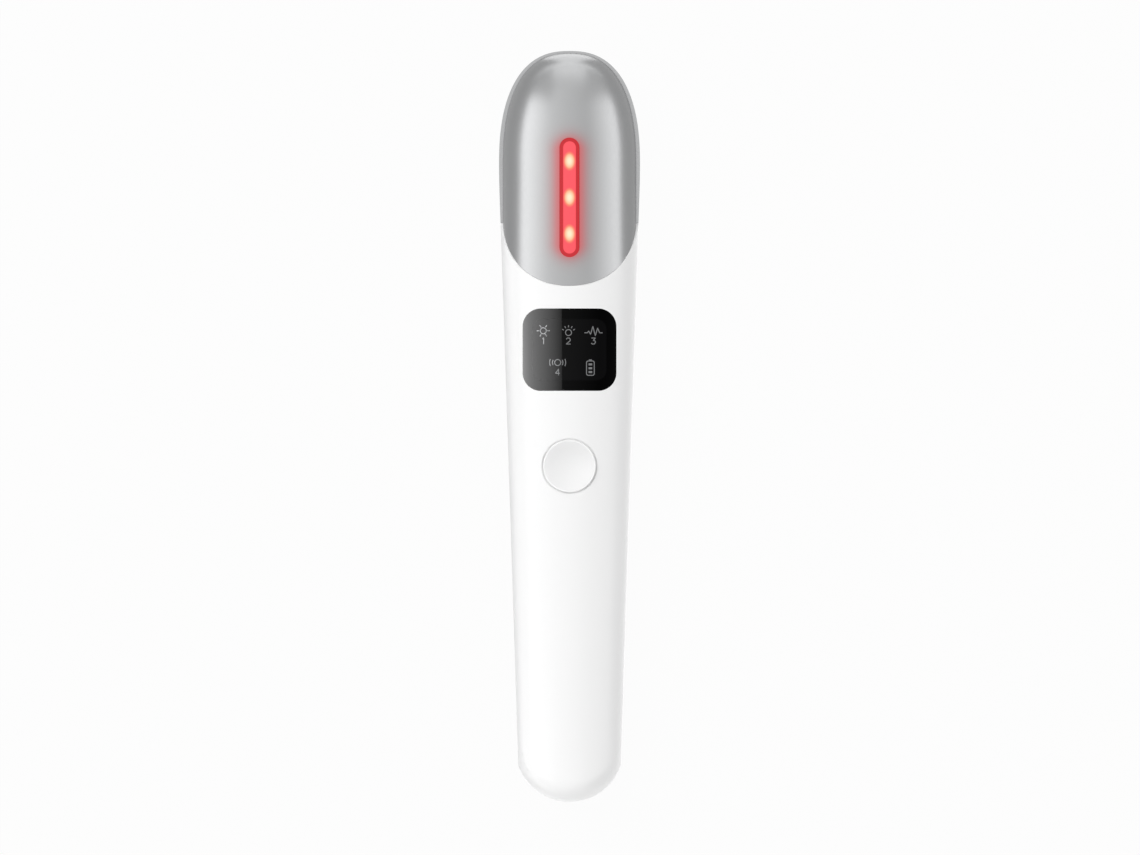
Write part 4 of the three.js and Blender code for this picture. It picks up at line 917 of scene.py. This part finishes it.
def front_shell():
    made = cut(form(), form(WALL))
    kept_within(made, body_region(HAIRLINE_GAP / 2, SEAM_HEIGHT + SEAM_GAP / 2))
    ledge_depth = LENS_THICKNESS + CLOSE_GAP
    pocket = cut(through_front(lens_outline(LENS_FIT)), form(ledge_depth))
    ledge_opening = through_front(lens_outline(-LENS_LEDGE_WIDTH))
    button_hole = through_front(circle(0, CAP_CENTRE_Y, CAP_RADIUS + BUTTON_SHOULDER_FIT))
    shoulder = through_front(circle(0, CAP_CENTRE_Y, CAP_RADIUS + FIT_GAP))
    cut(shoulder, form(BUTTON_SHOULDER_DEPTH))
    cut(made, pocket, ledge_opening, button_hole, shoulder, usb_opening())
    smooth_to_forms(made, casing_shape(0.0), casing_shape(WALL), casing_shape(ledge_depth))
    finish_piece(made, "front_casing", "white_gloss", ["front_shell"])


def rear_shell():
    made = cut(form(), form(WALL))
    below_bezel = slab(-FAR_Y, FAR_Y, -OVERRUN, BEZEL_BOTTOM_Z - CLOSE_GAP)
    below_seam = slab(-FAR_Y, BEZEL_END_Y - HAIRLINE_GAP / 2, -OVERRUN, SEAM_HEIGHT - SEAM_GAP / 2)
    kept_within(made, combined(below_bezel, below_seam, "UNION"))
    electrode_z = node_box("rear_electrode")[1].z
    cut(made, prism(electrode_outline(CLOSE_GAP), -OVERRUN, electrode_z + CLOSE_GAP))
    for node in ("screw_plug_1", "screw_plug_2"):
        cut(made, prism(plug_outline(node, PLUG_GAP), -OVERRUN, node_box(node)[1].z))
    cut(made, usb_opening())
    smooth_to_forms(made, casing_shape(0.0), casing_shape(WALL))
    finish_piece(made, "rear_casing", "white_gloss", ["rear_shell"])


def rear_electrode():
    low, high = node_box("rear_electrode")
    made = bevelled(prism(electrode_outline(0.0), low.z, high.z), ELECTRODE_BEVEL)
    finish_piece(made, "hand_electrode", "satin_silver", ["rear_electrode"])


def screw_plug(node, name):
    low, high = node_box(node)
    made = bevelled(prism(plug_outline(node, 0.0, PLUG_STEPS), low.z, high.z), PLUG_BEVEL)
    finish_piece(made, name, "white_gloss", [node])


def head_plate():
    outer = plate_shape(0.0)
    inner = plate_shape(PLATE_THICKNESS)
    made = cut(form(*outer), form(*inner))
    kept_within(made, head_region(HAIRLINE_GAP / 2, BEZEL_TOP_Z + CLOSE_GAP))
    cut(made, through_front(slot_outline(0)))
    smooth_to_forms(made, outer, inner)
    finish_piece(made, "metal_head", "satin_silver", ["head_plate"], finish=head_finish)


def head_bezel():
    made = cut(form(), form(BEZEL_WIDTH))
    kept_within(made, slab(BEZEL_END_Y, FAR_Y, BEZEL_BOTTOM_Z, BEZEL_TOP_Z))
    smooth_to_forms(made, casing_shape(0.0), casing_shape(BEZEL_WIDTH))
    finish_piece(made, "head_ring", "silver_ring", ["head_bezel"])


def light_strip():
    top = plate_shape(STRIP_SET_BACK)
    channel_bed = plate_shape(STRIP_SET_BACK + STRIP_CHANNEL_DEPTH)
    made = kept_within(through_front(slot_outline(-STRIP_FIT)), form(*top))
    channel = cut(through_front(slot_outline(-STRIP_RIM_WIDTH)), form(*channel_bed))
    cut(made, form(*plate_shape(STRIP_SET_BACK + STRIP_THICKNESS)), channel)
    smooth_to_forms(made, top, channel_bed)
    finish_piece(made, "lit_strip", "red_light", ["light_window"])


def display_lens():
    made = cut(form(), form(LENS_THICKNESS))
    kept_within(made, through_front(lens_outline(0)))
    smooth_to_forms(made, casing_shape(0.0), casing_shape(LENS_THICKNESS))
    finish_piece(made, "display_lens", "black_glass", ["display_window"])


def button_cap():
    """The button, turned about its axis, with its rim following a part of the casing's curve."""
    axis_z = float(front_z(0.0, CAP_CENTRE_Y))
    top_z = axis_z + CAP_PROUD
    dish_radius = CAP_RADIUS - CAP_RIM_WIDTH
    crest_drop = CAP_CREST_ROUND / 2
    profile = []
    for step in range(1, DISH_RINGS + 1):
        share = step / DISH_RINGS
        crest = max(0.0, (share - CAP_CREST_START) / (1 - CAP_CREST_START)) ** 2
        drop = CAP_DISH_DEPTH * (1 - share**2) + crest_drop * crest
        profile.append((dish_radius * share, top_z - drop, CAP_FOLLOW_SHARE))
    for step in range(1, CREST_RINGS + 1):
        angle = math.pi / 2 * step / CREST_RINGS
        radius = dish_radius + CAP_CREST_ROUND * math.sin(angle)
        profile.append((radius, top_z - crest_drop * math.cos(angle), CAP_FOLLOW_SHARE))
    for step in range(EDGE_RINGS + 1):
        angle = math.pi / 2 * step / EDGE_RINGS
        radius = CAP_RADIUS - CAP_EDGE_ROUND * (1 - math.sin(angle))
        profile.append((radius, top_z - CAP_EDGE_ROUND * (1 - math.cos(angle)), CAP_FOLLOW_SHARE))
    low_z = node_box("button_cap")[0].z
    flange_z = low_z + CAP_FLANGE_THICKNESS
    flange_radius = cap_half.x
    inner_radius = CAP_RADIUS - CAP_SKIRT_WALL
    cavity_z = top_z - CAP_DISH_DEPTH - CAP_TOP_WALL
    profile += [(CAP_RADIUS, flange_z, 0), (flange_radius, flange_z, 0), (flange_radius, low_z, 0)]
    profile += [(inner_radius, low_z, 0), (inner_radius, cavity_z, 0)]
    rings = []
    for radius, z, follow in profile:
        outline = circle(0, CAP_CENTRE_Y, radius)
        rings.append([(x, y, z + follow * (float(front_z(x, y)) - axis_z)) for x, y in outline])
    tips = [(0, CAP_CENTRE_Y, top_z - CAP_DISH_DEPTH), (0, CAP_CENTRE_Y, cavity_z)]
    made = smooth_by_angle(turn_outward(loft("cap", rings, tips)), CAP_SHARP_ANGLE)
    finish_piece(made, "round_button", "white_button", ["button_cap"], "button")


# The charging socket
CONTACT_COLUMNS = range(-5, 6)
CONTACT_PITCH = 0.5
CONTACT_WIDTH = 0.28
CONTACT_LENGTH = 3.6
CONTACT_SET_BACK = 0.6
CONTACT_LEVEL = 0.35
CONTACT_THICKNESS = 0.03
BOX_FACES = [(0, 1, 2, 3), (4, 5, 6, 7), (0, 1, 5, 4), (1, 2, 6, 5), (2, 3, 7, 6), (3, 0, 4, 7)]


def usb_socket():
    low, high = node_box("usb_shell")
    outside = lengthways(usb_outline(0), low.y, high.y)
    made = smooth_by_angle(cut(outside, lengthways(usb_outline(-USB_WALL), -FAR_Y, FAR_Y)))
    finish_piece(made, "socket_shell", "steel", ["usb_shell"])


def usb_contacts():
    """Gold contact strips on both faces of the socket's tongue."""
    low_y = node_box("usb_tongue")[0].y + CONTACT_SET_BACK
    high_y = low_y + CONTACT_LENGTH
    points = []
    faces = []
    for side in (-1, 1):
        for column in CONTACT_COLUMNS:
            low_x = column * CONTACT_PITCH - CONTACT_WIDTH / 2
            high_x = low_x + CONTACT_WIDTH
            faces += [tuple(len(points) + corner for corner in face) for face in BOX_FACES]
            for level_z in (CONTACT_LEVEL, CONTACT_LEVEL + CONTACT_THICKNESS):
                z = SEAM_HEIGHT + side * level_z
                points += [(low_x, low_y, z), (high_x, low_y, z), (high_x, high_y, z), (low_x, high_y, z)]
    made = turn_outward(surface("contacts", points, faces))
    finish_piece(made, "socket_contacts", "brass")


# The lit signs behind the lens
SIGN_LIFT = 0.012
SIGN_THICKNESS = 0.01
SIGN_STEP = 0.12
STROKE_WIDTH = 0.17
CIRCLE_RADIUS = 0.6
RING_STEPS = 20
ARC_STEPS = 10


def stroke_edges(line, width, closed):
    """The left and right edge of a stroke along a line, in short steps."""
    dense = []
    for (ax, ay), (bx, by) in zip(line, line[1:] + line[:1] if closed else line[1:]):
        steps = max(1, round(math.dist((ax, ay), (bx, by)) / SIGN_STEP))
        dense += [(ax + (bx - ax) * k / steps, ay + (by - ay) * k / steps) for k in range(steps)]
    if not closed:
        dense.append(line[-1])
    left = []
    right = []
    count = len(dense)
    for index, (x, y) in enumerate(dense):
        before = dense[(index - 1) % count] if closed or index else dense[0]
        after = dense[(index + 1) % count] if closed or index + 1 < count else dense[-1]
        run_x = after[0] - before[0]
        run_y = after[1] - before[1]
        length = max(math.hypot(run_x, run_y), TINY)
        off_x = -run_y / length * width / 2
        off_y = run_x / length * width / 2
        left.append((x + off_x, y + off_y))
        right.append((x - off_x, y - off_y))
    return left, right


def sign(name, strokes, centre_x, centre_y, width=STROKE_WIDTH):
    """Strokes round a centre, in millimetres. Each stroke is a line of points and whether it closes."""
    points = []
    faces = []
    for line, closed in strokes:
        left, right = stroke_edges([(centre_x + x, centre_y + y) for x, y in line], width, closed)
        start = len(points)
        count = len(left)
        for corners in zip(left, right, right, left):
            for (x, y), drop in zip(corners, (0, 0, SIGN_THICKNESS, SIGN_THICKNESS)):
                points.append((x, y, float(front_z(x, y)) + SIGN_LIFT - drop))
        for k in range(count if closed else count - 1):
            near = start + 4 * k
            far = start + 4 * ((k + 1) % count)
            for side in range(4):
                other = (side + 1) % 4
                faces.append((near + side, near + other, far + other, far + side))
        if not closed:
            faces += [tuple(range(end, end + 4)) for end in (start, len(points) - 4)]
    finish_piece(turn_outward(surface(name, points, faces)), name, "warm_led", finish=sign_finish)


def polar(radius, degrees):
    turn = math.radians(degrees)
    return radius * math.cos(turn), radius * math.sin(turn)


def ring(radius):
    return (circle(0, 0, radius, RING_STEPS), True)


def ray(angle, inner, outer):
    return ([polar(inner, angle), polar(outer, angle)], False)


def arc(radius, low_angle, high_angle):
    step = (high_angle - low_angle) / ARC_STEPS
    return ([polar(radius, low_angle + step * k) for k in range(ARC_STEPS + 1)], False)


DIGITS = {
    "1": [(-0.15, 0.4), (0.1, 0.63), (0.1, -0.63)],
    "2": [(-0.4, 0.35), (-0.2, 0.6), (0.2, 0.6), (0.4, 0.33), (0.35, 0.05), (-0.42, -0.6), (0.45, -0.6)],
    "3": [(-0.38, 0.6), (0.38, 0.6), (-0.02, 0.12), (0.3, 0.05), (0.42, -0.25), (0.2, -0.58), (-0.2, -0.6),
          (-0.42, -0.4)],
    "4": [(0.18, -0.63), (0.18, 0.6), (-0.42, -0.22), (0.45, -0.22)],
}

# Places of the signs, as pixels of the photograph, and the scale and middle of the view
PIXEL_SIZE = 0.2
MIDDLE_PIXEL = (569.5, 426.5)
IMAGE_SIZE = (1140, 855)


def from_pixel(pixel_x, pixel_y):
    return (pixel_x - MIDDLE_PIXEL[0]) * PIXEL_SIZE, (MIDDLE_PIXEL[1] - pixel_y) * PIXEL_SIZE


def signs():
    sun = [ring(CIRCLE_RADIUS)] + [ray(angle, 0.8, 1.32) for angle in (0, 58, 122, 180, 238, 302)]
    sign("sign_sun", sun, *from_pixel(543.4, 331.2))
    bulb = [ring(CIRCLE_RADIUS)] + [ray(angle, 1.05, 1.45) for angle in (28, 59, 90, 121, 152)]
    sign("sign_bulb", bulb, *from_pixel(568.5, 333.0))
    pulse = [(-1.8, 0), (-1.2, 0), (-0.98, 0.36), (-0.58, -0.3), (-0.12, 1.3), (0.36, -0.6), (0.82, 0.95),
             (1.22, 0), (1.8, 0)]
    sign("sign_pulse", [(pulse, False)], *from_pixel(593.4, 333.2))
    shake = [ring(CIRCLE_RADIUS)]
    shake += [arc(1.05, 150, 210), arc(1.05, -30, 30), arc(1.6, 154, 206), arc(1.6, -26, 26)]
    sign("sign_vibration", shake, *from_pixel(557.7, 362.8))
    case_x, case_y = from_pixel(590.3, 367.9)
    case = [(x - case_x, y - case_y) for x, y in rounded_outline(case_x, case_y - 0.1, 1.54, 2.86, 0.36)]
    battery = [(case, True), ([(-0.3, 1.53), (0.3, 1.53)], False)]
    sign("sign_battery", battery, case_x, case_y)
    bars = [([(-0.36, y), (0.36, y)], False) for y in (0.65, -0.12, -0.88)]
    sign("sign_charge", bars, case_x, case_y, width=0.4)
    for digit, pixel in zip("1234", [(543.2, 341.4), (568.3, 341.4), (593.3, 341.4), (557.7, 372.4)]):
        sign(f"sign_number_{digit}", [(DIGITS[digit], False)], *from_pixel(*pixel))


front_shell()
rear_shell()
rear_electrode()
screw_plug("screw_plug_1", "tail_plug")
screw_plug("screw_plug_2", "neck_plug")
head_plate()
head_bezel()
light_strip()
display_lens()
button_cap()
usb_socket()
usb_contacts()
signs()


# Floor, lights and camera
FLOOR_HALF_SIZE = 20.0
FLOOR_DROP = 0.0001
FLOOR_GREY = (0.5, 0.5, 0.5)
CAMERA_WHITE_SHARE = 0.96
GLOSSY_WHITE_SHARE = 0.43


def floor():
    """A pale floor that the camera sees as almost pure white, with a trace of the object's shadow."""
    half = FLOOR_HALF_SIZE
    drop = cad_bounds[0].z - FLOOR_DROP
    corners = [(-half, -half, drop), (half, -half, drop), (half, half, drop), (-half, half, drop)]
    made = surface("floor", corners, [(0, 1, 2, 3)])
    finish = Finish("floor")
    finish.set(Base_Color=FLOOR_GREY, Roughness=0.9, Specular_IOR_Level=0.0)
    seen, mirrored, _ = finish.rays()
    by_camera = finish.math("MULTIPLY", seen, CAMERA_WHITE_SHARE)
    share = finish.math("MAXIMUM", by_camera, finish.math("MULTIPLY", mirrored, GLOSSY_WHITE_SHARE))
    mixer = finish.add("MixShader")
    white = finish.add("Emission", Strength=1.0)
    for socket, value in zip(mixer.inputs, (share, finish.shader.outputs[0], white.outputs[0])):
        finish.feed(socket, value)
    finish.fill(finish.nodes["Material Output"], Surface=mixer.outputs[0])
    made.data.materials.append(finish.material)


LIGHT_DISTANCE = 2.0
PANEL_ENDS = (-0.5, 1.3)
CEILING_ENDS = (-0.5, 2.47)
CASING = ("front_casing", "rear_casing")
HEAD = ("metal_head", "head_ring")
CARD_REACH = 0.3
TAIL_FILL_PLACE = Vector((-0.03, -0.13, 0.03))
TAIL_FILL_TARGET = Vector((0, -0.072, 0.014))
TAIL_FILL_SIZE = (0.06, 0.03)
TAIL_FILL_RADIANCES = (1.5, 1.5)
SCATTER_LEVEL = 0.785


def add_panel(name, placing, width, length, graded_by, radiances):
    """A soft panel that faces the wand. Its radiance runs from one value to another across one side."""
    data = bpy.data.lights.new(name, "AREA")
    data.shape = "RECTANGLE"
    data.size = width
    data.size_y = length
    data.energy = math.pi * width * length
    data.use_nodes = True
    tree = Nodes(data.node_tree)
    parts = tree.add("SeparateXYZ", Vector=tree.add("NewGeometry").outputs["Parametric"])
    strength = tree.spread(parts.outputs[graded_by], 0.0, 1.0, *radiances)
    tree.fill(tree.nodes["Emission"], Strength=strength)
    made = linked(name, data)
    made.matrix_world = placing
    made.visible_camera = False
    return made


def leaning(lean_x, lean_y, shift_y=0.0):
    """A place for a panel that leans from overhead towards +X and +Y, in degrees, and faces the wand."""
    turned = Matrix.Rotation(math.radians(lean_x), 4, "Y") @ Matrix.Rotation(math.radians(-lean_y), 4, "X")
    return turned @ Matrix.Translation((0, shift_y, LIGHT_DISTANCE))


def span_between(low_angle, high_angle):
    """The width of a panel that fills the angle between two directions, in degrees."""
    return 2 * LIGHT_DISTANCE * math.tan(math.radians((high_angle - low_angle) / 2))


def side_panel(name, low_angle, high_angle, radiances, ends=PANEL_ENDS):
    """A long panel along the wand, between two angles from overhead towards +X, in degrees."""
    placing = leaning((low_angle + high_angle) / 2, 0.0, sum(ends) / 2)
    return add_panel(name, placing, span_between(low_angle, high_angle), ends[1] - ends[0], "X", radiances)


def top_panel(name, low_angle, high_angle, width, radiances):
    """A panel beyond the head end, between two angles from overhead towards +Y, in degrees."""
    placing = leaning(0.0, (low_angle + high_angle) / 2)
    return add_panel(name, placing, width, span_between(low_angle, high_angle), "Y", radiances)


def key_light(lean_x, lean_y, size, radiance):
    """The light that shapes the white casing."""
    return add_panel("key_light", leaning(lean_x, lean_y), size, size, "X", (radiance, radiance))


def lights_only(panel, *receivers):
    """Keeps a panel's light to some of the pieces."""
    made = bpy.data.collections.new(panel.name)
    for receiver in receivers:
        made.objects.link(bpy.data.objects[receiver])
    panel.light_linking.receiver_collection = made


def floor_card(name, low, high, radiances, *receivers):
    """A part of the white floor, as bright as some of the pieces mirror it, with radiance graded along X."""
    placing = Matrix.Translation(((low[0] + high[0]) / 2, (low[1] + high[1]) / 2, cad_bounds[0].z))
    placing = placing @ Matrix.Rotation(math.pi, 4, "X")
    panel = add_panel(name, placing, high[0] - low[0], high[1] - low[1], "X", radiances)
    panel.visible_diffuse = False
    lights_only(panel, *receivers)


def floor_cards():
    """The floor beside the casing, for its edges, and beyond the head end, for the metal at its tip."""
    for name, low_x, high_x, radiances in (
        ("far_left_floor", -0.3, -0.05, (1.6, 1.6)),
        ("left_floor", -0.05, -0.02, (1.5, 0.0)),
        ("middle_floor", -0.013, 0.013, (0.6, 0.6)),
        ("right_floor", 0.013, 0.3, (0.9, 1.2)),
    ):
        floor_card(name, (low_x, -CARD_REACH), (high_x, CARD_REACH), radiances, *CASING, "round_button")
    floor_card("tip_floor", (-0.009, 0.08), (0.009, 0.13), (1.0, 1.0), *HEAD)
    floor_card("far_tip_floor", (-0.08, 0.13), (0.08, 0.4), (1.3, 1.3), *HEAD)


def tail_fill():
    """A small card that lightens the rounded edge of the tail."""
    facing = (TAIL_FILL_PLACE - TAIL_FILL_TARGET).to_track_quat("Z", "Y").to_matrix().to_4x4()
    placing = Matrix.Translation(TAIL_FILL_PLACE) @ facing
    panel = add_panel("tail_fill", placing, *TAIL_FILL_SIZE, "X", TAIL_FILL_RADIANCES)
    panel.visible_glossy = False
    lights_only(panel, *CASING)


def lens_panels():
    """Panels that only the display mirrors: a bright one at the left, and a faint one at the right."""
    display = ["display_lens"] + [item.name for item in bpy.data.objects if item.name.startswith("sign_")]
    for panel in (
        side_panel("lens_panel", -87, -8.3, (245.0, 24.0)),
        side_panel("lens_fade", -8.3, 42, (5.0, 0.0)),
    ):
        panel.visible_diffuse = False
        lights_only(panel, *display)


def world():
    """White surroundings, at a plainer level for whatever scatters light."""
    made = bpy.data.worlds.new("studio")
    made.use_nodes = True
    bpy.context.scene.world = made
    tree = Nodes(made.node_tree)
    seen, mirrored, scattered = tree.rays()
    bright = tree.math("MAXIMUM", seen, mirrored)
    level = tree.math("MAXIMUM", bright, tree.math("MULTIPLY", scattered, SCATTER_LEVEL))
    tree.fill(tree.nodes["Background"], Color=(1.0, 1.0, 1.0), Strength=level)


CAMERA_HEIGHT = 2.4
SENSOR_WIDTH = 36.0


def camera():
    data = bpy.data.cameras.new("camera")
    data.sensor_width = SENSOR_WIDTH
    data.sensor_fit = "HORIZONTAL"
    view_width = IMAGE_SIZE[0] * PIXEL_SIZE * MM
    data.lens = SENSOR_WIDTH * CAMERA_HEIGHT / view_width
    made = linked("camera", data)
    x, y = from_pixel(IMAGE_SIZE[0] / 2, IMAGE_SIZE[1] / 2)
    made.location = (x * MM, y * MM, SEAM_HEIGHT * MM + CAMERA_HEIGHT)
    bpy.context.scene.camera = made


floor()
for panel in (
    side_panel("left_panel", -83, -30, (2.0, 0.65)),
    side_panel("ceiling_panel", -30, 30, (0.6, 0.0), CEILING_ENDS),
    side_panel("right_panel", 24, 89, (0.0, 1.6)),
    top_panel("top_panel", 50, 90, 1.5, (0.2, 1.05)),
):
    panel.visible_diffuse = False
key_light(-30, 24, size=1.4, radiance=2.6).visible_glossy = False
floor_cards()
tail_fill()
lens_panels()
world()
camera()
bpy.context.scene.view_settings.view_transform = "Standard"
